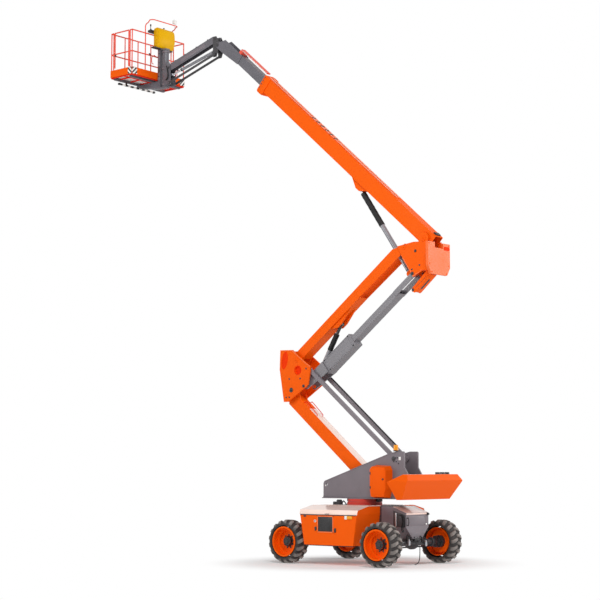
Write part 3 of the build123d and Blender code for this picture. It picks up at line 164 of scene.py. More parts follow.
@dataclass(frozen=True)
class Paint(Finish):
    """Two-coat machinery enamel on steel: even colour, a soft gloss, and a little dust and fading."""

    colour: str
    dusty: str
    roughness: float = 0.42
    coat: float = 0.25
    metallic: float = 0.0
    surface: Surface = Surface.SPRAYED
    dust: float = 0.35
    specular: float = 0.5

    def lay(self, tree: bpy.types.NodeTree, shader: bpy.types.Node, place: bpy.types.NodeSocket) -> None:
        """Mixes fresh and dusty colour in patches 0.4 m wide, which the roughness follows, over a fine grain.

        Args:
            tree: the material's node tree.
            shader: its principled shader.
            place: the object coordinates that lay out its pattern.
        """
        cloudy = {"Vector": place, "Scale": 1 / 0.4, "Detail": 6.0, "Roughness": 0.6}
        patches = node(tree, "ShaderNodeTexNoise", cloudy).outputs["Fac"]
        dusty = {"Value": patches, "From Min": 0.35, "From Max": 0.7, "To Min": 0.0, "To Max": self.dust}
        amount = node(tree, "ShaderNodeMapRange", dusty)
        shades = {0: amount.outputs[0], 6: linear(self.colour), 7: linear(self.dusty)}
        colour = node(tree, "ShaderNodeMix", shades, data_type="RGBA")
        tree.links.new(colour.outputs[2], shader.inputs["Base Color"])
        fresh, dull = self.roughness - 0.06, self.roughness + 0.08
        gloss = {"Value": patches, "From Min": 0.3, "From Max": 0.7, "To Min": fresh, "To Max": dull}
        rough = node(tree, "ShaderNodeMapRange", gloss)
        tree.links.new(rough.outputs[0], shader.inputs["Roughness"])
        size, depth = self.surface.value
        grain = node(tree, "ShaderNodeTexNoise", {"Vector": place, "Scale": 1.0 / size, "Detail": 2.0})
        bump = node(tree, "ShaderNodeBump", {"Height": grain.outputs["Fac"], "Distance": depth, "Strength": 0.25})
        tree.links.new(bump.outputs["Normal"], shader.inputs["Normal"])
        shader.inputs["Metallic"].default_value = self.metallic
        shader.inputs["Coat Weight"].default_value = self.coat
        shader.inputs["Coat Roughness"].default_value = 0.12
        shader.inputs["Specular IOR Level"].default_value = self.specular


@dataclass(frozen=True)
class Rubber(Finish):
    """Moulded or vulcanised rubber: nearly black, dull, with pale dust where it has rubbed; on the tyre's lugs the
    pale tone is also a painted highlight on their tops.
    """

    colour: str
    wear_and_highlight: str
    roughness: float = 0.75
    wear_scale: float = 14.0
    marks_lug_tops: bool = False

    def lay(self, tree: bpy.types.NodeTree, shader: bpy.types.Node, place: bpy.types.NodeSocket) -> None:
        """Mixes fresh and paler rubber by noise, or by noise times a share stored on the mesh, which lays wear and a
        painted highlight on the lug tops, over a moulded grain.

        The rubbed patches are about 70 mm wide at a scale of 14. The grain of about 3 mm is drawn coarser than the
        real one, which is too fine to show.

        Args:
            tree: the material's node tree.
            shader: its principled shader.
            place: the object coordinates that lay out its pattern.
        """
        rubbed = node(tree, "ShaderNodeTexNoise", {"Vector": place, "Scale": self.wear_scale, "Detail": 8.0})
        if self.marks_lug_tops:
            rub = node(tree, "ShaderNodeAttribute", attribute_name="rub")
            shares = {0: rub.outputs["Fac"], 1: rubbed.outputs["Fac"]}
            amount = node(tree, "ShaderNodeMath", shares, operation="MULTIPLY")
        else:
            share = {"Value": rubbed.outputs["Fac"], "From Min": 0.45, "From Max": 0.75, "To Min": 0.0, "To Max": 0.55}
            amount = node(tree, "ShaderNodeMapRange", share)
        shades = {0: amount.outputs[0], 6: linear(self.colour), 7: linear(self.wear_and_highlight)}
        colour = node(tree, "ShaderNodeMix", shades, data_type="RGBA")
        tree.links.new(colour.outputs[2], shader.inputs["Base Color"])
        grain = node(tree, "ShaderNodeTexNoise", {"Vector": place, "Scale": 300.0, "Detail": 2.0})
        bump = node(tree, "ShaderNodeBump", {"Height": grain.outputs["Fac"], "Distance": 0.001, "Strength": 0.3})
        tree.links.new(bump.outputs["Normal"], shader.inputs["Normal"])
        shader.inputs["Roughness"].default_value = self.roughness
        shader.inputs["Specular IOR Level"].default_value = 0.35


@dataclass(frozen=True)
class Striped(Finish):
    """Reflective tape printed with slanted stripes: crisp edges and a slightly waxy face."""

    light: str
    dark: str
    pitch: float = 0.11
    lean: tuple[float, float, float] = (1.0, 1.0, 1.0)

    def lay(self, tree: bpy.types.NodeTree, shader: bpy.types.Node, place: bpy.types.NodeSocket) -> None:
        """Prints the tape, light where the fraction of the place dotted with the lean, over the pitch, tops a half.

        Args:
            tree: the material's node tree.
            shader: its principled shader.
            place: the object coordinates that lay out its pattern.
        """
        steps = tuple(value / self.pitch for value in self.lean)
        along = node(tree, "ShaderNodeVectorMath", {0: place, 1: steps}, operation="DOT_PRODUCT")
        part = node(tree, "ShaderNodeMath", {0: along.outputs["Value"]}, operation="FRACT")
        band = node(tree, "ShaderNodeMath", {0: part.outputs[0], 1: 0.5}, operation="GREATER_THAN")
        shades = {0: band.outputs[0], 6: linear(self.dark), 7: linear(self.light)}
        colour = node(tree, "ShaderNodeMix", shades, data_type="RGBA")
        tree.links.new(colour.outputs[2], shader.inputs["Base Color"])
        scuffs = node(tree, "ShaderNodeTexNoise", {"Vector": place, "Scale": 18.0, "Detail": 4.0})
        rough = node(tree, "ShaderNodeMapRange", {"Value": scuffs.outputs["Fac"], "To Min": 0.3, "To Max": 0.55})
        tree.links.new(rough.outputs[0], shader.inputs["Roughness"])


# printed reflective tape: hard black bars on bright white
HAZARD = Striped("hazard_tape", "F1F0EC", "141415", 0.11, (1.0, -1.0, 1.0))
DASHES = Striped("dashed_bumper_tape", "F1F0EC", "141415", 0.19, (0.0, 1.0, 0.0))
# sprayed machinery enamel in signal orange: a full, even colour with hardly any sheen
ORANGE = Paint("orange_machinery_enamel", "F55E06", "F46312", dust=0.15, coat=0.0, specular=0.06)
# the same enamel drawn paler on bent edges and frames, with some dust: a painted highlight where the light catches
# them
PALE_ORANGE = Paint("edge_enamel", "F9702A", "F98A50", dust=0.35, coat=0.12, specular=0.3)
# the same enamel drawn paler on a ribbed cover, a painted highlight on a face turned to the light, and darker inside
# deep openings, a painted shade
HIGHLIGHT_COVER = Paint("end_cover_enamel", "F36A2C", "F5763C", 0.45, 0.05, 0.0, Surface.SPRAYED, 0.3, 0.2)
SHADE_RED = Paint("recess_enamel", "EE3606", "F04A14", 0.6, 0.0, 0.0, Surface.SPRAYED, 0.2, 0.04)
# sprayed grey enamels with a satin sheen: warm on plates, bluer on the fly boom, lighter on the bars
GREY = Paint("grey_machinery_enamel", "6E666C", "867E84", roughness=0.5, coat=0.15)
FLY_GREY = Paint("fly_boom_enamel", "57555C", "77747A", roughness=0.46, coat=0.18)
STEEL_GREY = Paint("link_bar_enamel", "6C696E", "88858A", roughness=0.4, coat=0.2)
# dark chassis enamel: near black, with road dust lying on it
CHARCOAL = Paint("charcoal_enamel", "2B2A2D", "514D50", roughness=0.5, coat=0.12)
# red enamels: satin on the rails, matt on brackets, dusty round the slewing ring
RAIL_RED = Paint("platform_rail_enamel", "E8452C", "EC7A62", roughness=0.45, coat=0.15, specular=0.3)
RED = Paint("red_bracket_enamel", "E3240E", "E63E22", 0.5, 0.0, 0.0, Surface.SPRAYED, 0.25, 0.08)
RING = Paint("slew_ring_enamel", "CF2010", "C4583C", roughness=0.5)
# polyethylene cover, moulded: a deep even yellow with a dull skin
YELLOW = Paint("moulded_yellow_cover", "E6B000", "D99300", 0.4, 0.0, 0.0, Surface.MOULDED, 0.3, 0.12)
# tinted and clear polycarbonate lenses: wet-looking, with hard highlights
AMBER = Paint("amber_lens", "F29A08", "F7AE2A", 0.2, 0.4, 0.0, Surface.MOULDED, 0.1, 0.2)
LENS = Paint("clear_lamp_lens", "F4F4F0", "E6E6E0", roughness=0.08, coat=1.0, surface=Surface.MOULDED, dust=0.1)
# sand-cast iron under thin paint: black, rough and uneven
IRON = Paint("cast_iron_units", "2A292B", "4A4648", roughness=0.65, coat=0.0, surface=Surface.CAST)
# hard chrome, ground and polished: a bright mirror with long streaks of light
CHROME = Paint("hard_chrome_rod", "D9DADD", "C6C7CB", 0.12, 0.0, 1.0, Surface.MACHINED, 0.2)
# gloss enamel on a honed tube: one sharp line of light along it
BARREL = Paint("silver_barrel_enamel", "7D7D83", "97969C", roughness=0.25, coat=0.6)
# zinc plate: a pale, slightly cloudy metal
ZINC = Paint("zinc_plated_steel", "B9BBBE", "8F9094", 0.35, 0.0, 1.0, Surface.MACHINED, 0.5)
# vulcanised rubbers, all dull: bellows and hose nearly black, the tyre dusty, its lugs dusty and drawn pale on their
# tops as a painted highlight
GUARD = Rubber("rod_guard_rubber", "0B0B0C", "262526", roughness=0.6)
HOSE = Rubber("hose_rubber", "1C1B1D", "454244", roughness=0.55)
TYRE = Rubber("lugged_tyre_rubber", "221F1F", "77706B", roughness=0.85, wear_scale=9.0)
LUGS = Rubber("tyre_lug_rubber", "1E1B1C", "BDB4AE", roughness=0.85, wear_scale=7.0, marks_lug_tops=True)
# gloss enamel on lids and tops that face the sky, drawn nearly white: a painted highlight standing in for the light on
# them
HIGHLIGHT_LID = Paint("lid_enamel", "F4D2C2", "F8E2D8", roughness=0.3, coat=0.9, dust=0.5)
# ABS mouldings, white and black: smooth, with a low even shine
WHITE = Paint("moulded_white_cover", "ECEBE8", "D8D5D0", roughness=0.35, coat=0.3, surface=Surface.MOULDED)
BLACK = Paint("black_moulding", "161517", "2E2C2E", roughness=0.5, coat=0.1, surface=Surface.MOULDED)

NODE_FINISHES: dict[str, Finish] = {
    "chassis_frame": CHARCOAL,
    "rear_hood": GREY,
    "slew_ring": RING,
    "turntable_frame": GREY,
    "lower_bars": GREY,
    "upper_link": STEEL_GREY,
    "fly_boom": FLY_GREY,
    "fly_head": FLY_GREY,
    "jib_base": CHARCOAL,
    "jib_beam": FLY_GREY,
    "jib_link": CHARCOAL,
    "platform_mount": FLY_GREY,
    "platform_support": FLY_GREY,
    "power_track": RAIL_RED,
    "console": YELLOW,
    "beacon": AMBER,
    # the hood lids take the pale lid colour: a painted highlight
    "hood_left": HIGHLIGHT_LID,
    "hood_right": HIGHLIGHT_LID,
    "lift_barrel": BARREL,
    "riser_barrel": BARREL,
    "jib_barrel": BARREL,
    "riser_rod": CHARCOAL,
    # the knuckle's end cover is drawn paler: a painted highlight
    "knuckle_cover": HIGHLIGHT_COVER,
}
SLOT_FINISHES: dict[str, Finish] = {
    "orange": ORANGE,
    "grey": GREY,
    "dark": CHARCOAL,
    "chrome": CHROME,
    "tyre": TYRE,
    "rubber": HOSE,
    "amber": AMBER,
    "rail": RAIL_RED,
    "iron": IRON,
}


# ---------------- surfaces
def unit(direction: Point) -> np.ndarray:
    """A vector's direction, one long."""
    arrow = np.asarray(direction, float)
    return arrow / np.linalg.norm(arrow)


def across(direction: Point) -> tuple[np.ndarray, np.ndarray]:
    """Two directions square to a given one and to each other.

    Args:
        direction: the given direction.

    Returns:
        A pair whose first member is the cross product of the direction with its least-aligned world axis, and whose
        second is the cross product of the direction with the first.
    """
    along = unit(direction)
    helper = np.eye(3)[int(np.argmin(np.abs(along)))]
    first = unit(np.cross(along, helper))
    return first, np.cross(along, first)


def circle(radius: float, count: int, start: float = 0.0) -> np.ndarray:
    """Points of a regular polygon: radius times the cosine and sine of evenly spaced angles.

    Args:
        radius: of the circle round the polygon.
        count: number of corners.
        start: angle of the first corner in radians.

    Returns:
        An array of count rows of two.
    """
    angles = start + np.linspace(0.0, 2 * math.pi, count, endpoint=False)
    return radius * np.stack([np.cos(angles), np.sin(angles)], axis=1)


def rounded(width: float, height: float, radius: float, steps: int = 4) -> np.ndarray:
    """The outline of a rectangle with round corners, centred on zero.

    Args:
        width: along the first axis.
        height: along the second.
        radius: of the corners.
        steps: points to a corner.

    Returns:
        Corner centres plus radius times the cosine and sine of a quarter turn at each corner.
    """
    quarter = np.linspace(0.0, math.pi / 2, steps)
    turns = np.concatenate([quarter + k * math.pi / 2 for k in range(4)])
    signs = np.repeat(np.array([[1, 1], [-1, 1], [-1, -1], [1, -1]], float), steps, axis=0)
    centres = signs * (np.array([width, height]) / 2 - radius)
    return centres + radius * np.stack([np.cos(turns), np.sin(turns)], axis=1)


def inset(outline: np.ndarray, distance: float) -> np.ndarray:
    """Moves each side of an anticlockwise outline inwards.

    Args:
        outline: corners in order.
        distance: how far the sides move.

    Returns:
        Each corner moved along the sum of its two sides' inward normals, divided by one plus their dot product.
    """
    side = np.roll(outline, -1, axis=0) - outline
    side /= np.maximum(np.linalg.norm(side, axis=1, keepdims=True), 1e-9)
    normal = np.stack([-side[:, 1], side[:, 0]], axis=1)
    before = np.roll(normal, 1, axis=0)
    bend = 1.0 + np.sum(normal * before, axis=1, keepdims=True)
    return outline + distance * (normal + before) / np.maximum(bend, 0.3)


def smooth(points: Sequence[Point], steps: int = 8) -> np.ndarray:
    """A soft curve through points: on each run, the Catmull-Rom cubic of its two ends and their two neighbours.

    Args:
        points: three or more places.
        steps: places on each run.

    Returns:
        Rows of coordinates, as many to a row as in the points.
    """
    line = np.asarray(points, float)
    whole = np.concatenate([2 * line[:1] - line[1:2], line, 2 * line[-1:] - line[-2:-1]])
    t = np.linspace(0.0, 1.0, steps, endpoint=False)[None, :, None]
    a, b, c, d = (whole[i : len(whole) - 3 + i, None] for i in range(4))
    runs = 0.5 * (2 * b + (c - a) * t + (2 * a - 5 * b + 4 * c - d) * t**2 + (3 * b - a - 3 * c + d) * t**3)
    return np.concatenate([runs.reshape(-1, line.shape[1]), line[-1:]])


@dataclass
class Shape:
    """A mesh in the making: surfaces worked out as arrays, joined into one piece with one finish."""

    points: list[np.ndarray] = field(default_factory=list)
    faces: list[list[int]] = field(default_factory=list)
    total: int = 0

    def _take(self, points: np.ndarray) -> int:
        """Stores points and returns the number of the first."""
        first = self.total
        self.points.append(points.reshape(-1, 3))
        self.total += self.points[-1].shape[0]
        return first

    def grid(self, points: np.ndarray, closed_u: bool = False, closed_v: bool = False) -> None:
        """Joins a grid of points with four-sided faces.

        Args:
            points: an array of rows, columns and three coordinates.
            closed_u: the last row joins the first.
            closed_v: the last column joins the first.
        """
        rows, columns = points.shape[:2]
        first = self._take(points)
        u = np.arange(rows if closed_u else rows - 1)[:, None]
        v = np.arange(columns if closed_v else columns - 1)[None, :]
        u_next, v_next = (u + 1) % rows, (v + 1) % columns
        ahead, back = u_next * columns, u * columns
        quads = np.stack(np.broadcast_arrays(back + v, ahead + v, ahead + v_next, back + v_next), axis=-1)
        self.faces.extend((quads.reshape(-1, 4) + first).tolist())

    def skin(self, rings: np.ndarray) -> None:
        """Joins closed rings of points with four-sided faces and closes both ends with a flat face."""
        start, (rows, count) = self.total, rings.shape[:2]
        self.grid(rings, closed_v=True)
        last = start + (rows - 1) * count
        self.faces.append(list(range(start, start + count))[::-1])
        self.faces.append(list(range(last, last + count)))

    def lathe(self, profile: Sequence[Point], centre: Point, axis: Point, sides: int = 32, ring: bool = False) -> None:
        """Turns a profile round an axis: centre plus height along the axis plus radius times cosine and sine.

        Args:
            profile: pairs of radius and height, from one end to the other.
            centre: where the height is zero.
            axis: the direction of the height.
            sides: faces round.
            ring: the profile closes on itself; otherwise its ends are closed with flat faces.
        """
        rows = np.asarray(profile, float)
        first, second = across(axis)
        turn = circle(1.0, sides)
        spokes = turn[:, :1] * first + turn[:, 1:] * second
        points = np.asarray(centre, float) + rows[:, None, 1:] * unit(axis) + rows[:, None, :1] * spokes[None]
        if ring:
            self.grid(points, closed_u=True, closed_v=True)
        else:
            self.skin(points)

    def tube(self, path: np.ndarray, radius: float | np.ndarray, sides: int = 12) -> None:
        """Carries a circle along a path: each ring is turned by the least turn from the one before it.

        Args:
            path: points in order.
            radius: one radius, or one for each point.
            sides: faces round.
        """
        line = np.asarray(path, float)
        ahead = np.gradient(line, axis=0)
        ahead /= np.linalg.norm(ahead, axis=1, keepdims=True)
        first = across(ahead[0])[0]
        frames = []
        for direction in ahead:
            first = unit(first - np.dot(first, direction) * direction)
            frames.append((first, np.cross(direction, first)))
        sides_u = np.array([pair[0] for pair in frames])
        sides_v = np.array([pair[1] for pair in frames])
        turn = circle(1.0, sides)
        reach = np.broadcast_to(np.asarray(radius, float), (len(line),))[:, None, None]
        spokes = turn[None, :, :1] * sides_u[:, None] + turn[None, :, 1:] * sides_v[:, None]
        self.skin(line[:, None] + reach * spokes)

    def plate(
        self, outline: np.ndarray, origin: Point, u: Point, v: Point, low: float, high: float, edge: float = 0.002
    ) -> None:
        """Raises an outline into a plate with rounded edges.

        Args:
            outline: corners in order, anticlockwise.
            origin: where the outline's zero lies.
            u: direction of the outline's first coordinate.
            v: direction of its second.
            low: where the plate starts along the cross product of u and v.
            high: where it ends.
            edge: radius of the rounded edge, as two short slopes.
        """
        corners = np.asarray(outline, float)
        shoelace = np.sum(corners[:, 0] * np.roll(corners[:, 1], -1) - np.roll(corners[:, 0], -1) * corners[:, 1])
        if shoelace < 0:
            corners = corners[::-1]
        across_u, across_v = unit(u), unit(v)
        normal = np.cross(across_u, across_v)
        steps = [(edge, 0.0), (edge * 0.3, edge * 0.3), (0.0, edge)] if edge > 0 else [(0.0, 0.0)]
        rows = [(pull, low + rise) for pull, rise in steps] + [(pull, high - rise) for pull, rise in reversed(steps)]
        rings = []
        for pull, level in rows:
            flat = inset(corners, pull) if pull > 0 else corners
            flat_u, flat_v = flat[:, :1] * across_u, flat[:, 1:] * across_v
            rings.append(np.asarray(origin, float) + flat_u + flat_v + level * normal)
        self.skin(np.array(rings))

    def block(self, low: Point, high: Point, edge: float = 0.003) -> None:
        """Adds a box with rounded edges between two corners, square to the world's axes."""
        a, b = np.asarray(low, float), np.asarray(high, float)
        size = b - a
        outline = rounded(size[0], size[1], min(edge * 1.5, size[0] / 2.2, size[1] / 2.2), 3)
        middle = (a + b) / 2
        edge = min(edge, size[2] / 2.5)
        self.plate(outline, (middle[0], middle[1], 0.0), (1, 0, 0), (0, 1, 0), a[2], b[2], edge)

    def bolt(self, place: Point, axis: Point, radius: float = 0.012) -> None:
        """Adds a hexagon head on a round washer, standing out along an axis."""
        first, second = across(axis)
        self.plate(circle(radius * 1.9, 16), place, first, second, 0.0, radius * 0.3, radius * 0.08)
        self.plate(circle(radius, 6), place, first, second, radius * 0.3, radius * 1.1, radius * 0.15)

    def cap(self, place: Point, axis: Point, radius: float, height: float = 0.012) -> None:
        """Adds a pin's end: a chamfered disc with a keeper bolt at its middle.

        Args:
            place: the centre of its foot.
            axis: the way that it stands out.
            radius: of the disc.
            height: how far it stands out.
        """
        chamfer = min(height * 0.4, radius * 0.2)
        self.lathe([(radius, 0.0), (radius, height - chamfer), (radius - chamfer, height)], place, axis, 24)
        self.bolt(np.asarray(place, float) + unit(axis) * height, axis, radius * 0.28)

    def piece(
        self,
        name: str,
        finish: Finish,
        body: str,
        slot: str = "",
        angle: float = 38.0,
        rub: np.ndarray | None = None,
    ) -> bpy.types.Object:
        """Makes the mesh, dresses it and lets it ride on a body.

        Args:
            name: the piece's name.
            finish: its material.
            body: the CAD body that it moves with.
            slot: the record's material slot, if it has one; not used.
            angle: edges sharper than this stay sharp, in degrees.
            rub: how much of the finish's paler tone each point takes, from 0 to 1, for a finish that shows wear; on
                the tyre's lugs it is wear with a painted highlight.

        Returns:
            The new object.
        """
        mesh = bpy.data.meshes.new(name)
        mesh.from_pydata(np.concatenate(self.points).tolist(), [], self.faces)
        sheet = bmesh.new()
        sheet.from_mesh(mesh)
        if rub is None:
            bmesh.ops.remove_doubles(sheet, verts=sheet.verts, dist=1e-6)
            bmesh.ops.dissolve_degenerate(sheet, edges=sheet.edges, dist=1e-7)
        bmesh.ops.recalc_face_normals(sheet, faces=sheet.faces)
        sheet.to_mesh(mesh)
        sheet.free()
        if rub is not None:
            mesh.attributes.new("rub", "FLOAT", "POINT").data.foreach_set("value", rub.astype(np.float32))
        mesh.shade_smooth()
        mesh.set_sharp_from_angle(angle=math.radians(angle))
        made = bpy.data.objects.new(name, mesh)
        made.data.materials.append(finish.material())
        bpy.context.scene.collection.objects.link(made)
        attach(made, body)
        LOG.info("piece %s: %d faces", name, len(mesh.polygons))
        return made


@dataclass(frozen=True)
class Beam:
    """A straight member's own frame: a foot, its direction and the direction square to it, upwards."""

    foot: tuple[float, float, float]
    head: tuple[float, float, float]

    @property
    def along(self) -> np.ndarray:
        """The direction from foot to head."""
        return unit(np.subtract(self.head, self.foot))

    @property
    def up(self) -> np.ndarray:
        """Square to the member in the upright plane, pointing upwards."""
        direction = self.along
        raised = np.array([-direction[2], 0.0, direction[0]])
        return raised if raised[2] > 0 else -raised

    @property
    def length(self) -> float:
        """The distance between the two pins."""
        return float(np.linalg.norm(np.subtract(self.head, self.foot)))

    def at(self, along: float | np.ndarray, up: float | np.ndarray, y: float | np.ndarray = 0.0) -> np.ndarray:
        """Points at distances along, above and beside the member's pin line.

        Args:
            along: from the foot.
            up: above the pin line.
            y: sideways in the world.

        Returns:
            Foot plus along times the direction plus up times the upward direction plus y sideways.
        """
        a, b, c = np.broadcast_arrays(np.asarray(along, float), np.asarray(up, float), np.asarray(y, float))
        forward, upward = a[..., None] * self.along, b[..., None] * self.up
        return np.asarray(self.foot) + forward + upward + c[..., None] * np.array([0.0, 1.0, 0.0])


# ---------------- the studio
@dataclass
class Studio:
    """The camera, the pale floor, the white surround and three soft lamps."""

    slew_x: float
    heading: float = 40.19
    pitch: float = 5.93
    lens: float = 95.3
    camera_at: tuple[float, float, float] = (21.28, -27.36, 2.10)
    glow: float = 0.16
    bounce: float = 0.24
    fade: tuple[float, float] = (1.9, 3.6)
    aim_z: float = 5.0

    def camera(self) -> None:
        """Places the camera, which looks across the left side and the counterweight's end."""
        data = bpy.data.cameras.new("camera")
        data.lens = self.lens
        data.sensor_width = 36.0
        data.clip_end = 500.0
        made = bpy.data.objects.new("camera", data)
        x, y, z = self.camera_at
        made.location = (x + self.slew_x, y, z)
        made.rotation_euler = (math.radians(90 + self.pitch), 0.0, math.radians(self.heading))
        bpy.context.scene.collection.objects.link(made)
        bpy.context.scene.camera = made

    def lamp(self, name: str, power: float, size: float, place: Point) -> None:
        """Adds a square soft lamp that faces the machine's middle.

        Args:
            name: the lamp's name.
            power: watts.
            size: side in metres.
            place: where it hangs, counted from the slewing axis.
        """
        data = bpy.data.lights.new(name, "AREA")
        data.energy = power
        data.size = size
        made = bpy.data.objects.new(name, data)
        made.location = (self.slew_x + place[0], place[1], place[2])
        aim = np.array([0.0, 0.0, self.aim_z]) - np.array(place, float)
        flat = math.hypot(aim[0], aim[1])
        made.rotation_euler = (math.atan2(flat, -aim[2]), 0.0, math.atan2(aim[1], aim[0]) - math.pi / 2)
        bpy.context.scene.collection.objects.link(made)

    def surround(self) -> None:
        """Makes the world white to the camera and to reflections, and a softer grey to the object."""
        world = bpy.data.worlds.new("surround")
        bpy.context.scene.world = world
        world.use_nodes = True
        tree = world.node_tree
        back = tree.nodes["Background"]
        path = node(tree, "ShaderNodeLightPath")
        seen = path.outputs["Is Camera Ray"]
        for ray in ("Is Glossy Ray", "Is Transmission Ray"):
            seen = node(tree, "ShaderNodeMath", {0: seen, 1: path.outputs[ray]}, operation="MAXIMUM").outputs[0]
        level = node(tree, "ShaderNodeMapRange", {"Value": seen, "To Min": 0.36, "To Max": 1.0})
        tree.links.new(level.outputs[0], back.inputs["Strength"])
        back.inputs["Color"].default_value = (1.0, 1.0, 1.0, 1.0)

    def floor(self) -> None:
        """Lays a wide pale floor that keeps the machine's shadow and meets the white surround.

        Only the camera sees the floor fade to white with the distance from the slewing axis; to every other ray it
        stays a plain pale sheet that throws some light back up.
        """
        reach = 400.0
        mesh = bpy.data.meshes.new("floor")
        corners = [(-reach, -reach, 0), (reach, -reach, 0), (reach, reach, 0), (-reach, reach, 0)]
        mesh.from_pydata(corners, [], [(0, 1, 2, 3)])
        made = bpy.data.objects.new("floor", mesh)
        bpy.context.scene.collection.objects.link(made)
        paint = bpy.data.materials.new("floor_sheet")
        paint.use_nodes = True
        tree = paint.node_tree
        shader = tree.nodes["Principled BSDF"]
        shader.inputs["Base Color"].default_value = linear("E6E6E6")
        shader.inputs["Roughness"].default_value = 0.9
        shader.inputs["Specular IOR Level"].default_value = 0.0
        path = node(tree, "ShaderNodeLightPath")
        camera = path.outputs["Is Camera Ray"]
        glow = node(tree, "ShaderNodeMapRange", {"Value": camera, "To Min": self.bounce, "To Max": self.glow})
        shader.inputs["Emission Color"].default_value = (1.0, 1.0, 1.0, 1.0)
        tree.links.new(glow.outputs[0], shader.inputs["Emission Strength"])
        place = node(tree, "ShaderNodeTexCoord").outputs["Object"]
        away = node(tree, "ShaderNodeVectorMath", {0: place, 1: (self.slew_x, 0.0, 0.0)}, operation="DISTANCE")
        near, far = self.fade
        reaches = {"Value": away.outputs["Value"], "From Min": near, "From Max": far}
        fade = node(tree, "ShaderNodeMapRange", reaches, interpolation_type="SMOOTHSTEP")
        share = node(tree, "ShaderNodeMath", {0: fade.outputs[0], 1: camera}, operation="MULTIPLY")
        plain = node(tree, "ShaderNodeEmission", {"Color": (1.0, 1.0, 1.0, 1.0), "Strength": 1.0})
        ends = {0: share.outputs[0], 1: shader.outputs["BSDF"], 2: plain.outputs["Emission"]}
        blend = node(tree, "ShaderNodeMixShader", ends)
        tree.links.new(blend.outputs[0], tree.nodes["Material Output"].inputs["Surface"])
        mesh.materials.append(paint)

    def build(self) -> None:
        """Sets up everything that isn't part of the machine."""
        bpy.context.scene.view_settings.view_transform = "Standard"
        self.camera()
        self.surround()
        self.floor()
        self.lamp("key", 2800.0, 9.0, (12.0, -15.0, 19.0))
        self.lamp("fill", 1030.0, 12.0, (-12.0, -20.0, 9.0))
        self.lamp("rim", 2600.0, 12.0, (16.0, 17.0, 10.0))


# ---------------- earthing strap
STRAP_ROUTE = (
    (3.8394, 0.290, 0.4047),
    (3.8424, 0.288, 0.280),
    (3.8394, 0.284, 0.160),
    (3.8344, 0.268, 0.066),
    (3.8224, 0.215, 0.016),
    (3.8154, 0.140, 0.009),
)


@dataclass
class EarthStrap:
    """The rubber strap that hangs from the rear axle and drags on the ground."""

    diameter: float = 0.018
    length: float = 0.478

    def build(self) -> None:
        """Builds the strap as one curve with a round section."""
        data = bpy.data.curves.new("earth_strap", "CURVE")
        data.dimensions = "3D"
        data.bevel_depth = self.diameter / 2
        data.bevel_resolution = 4
        data.use_fill_caps = True
        line = data.splines.new("NURBS")
        line.points.add(len(STRAP_ROUTE) - 1)
        for point, place in zip(line.points, STRAP_ROUTE):
            point.co = (*place, 1.0)
        line.order_u = 3
        line.use_endpoint_u = True
        line.resolution_u = 12
        data.materials.append(HOSE.material())
        made = bpy.data.objects.new("earth_strap", data)
        bpy.context.scene.collection.objects.link(made)
        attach(made, "chassis")
        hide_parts("earthing_strap")
        self.length


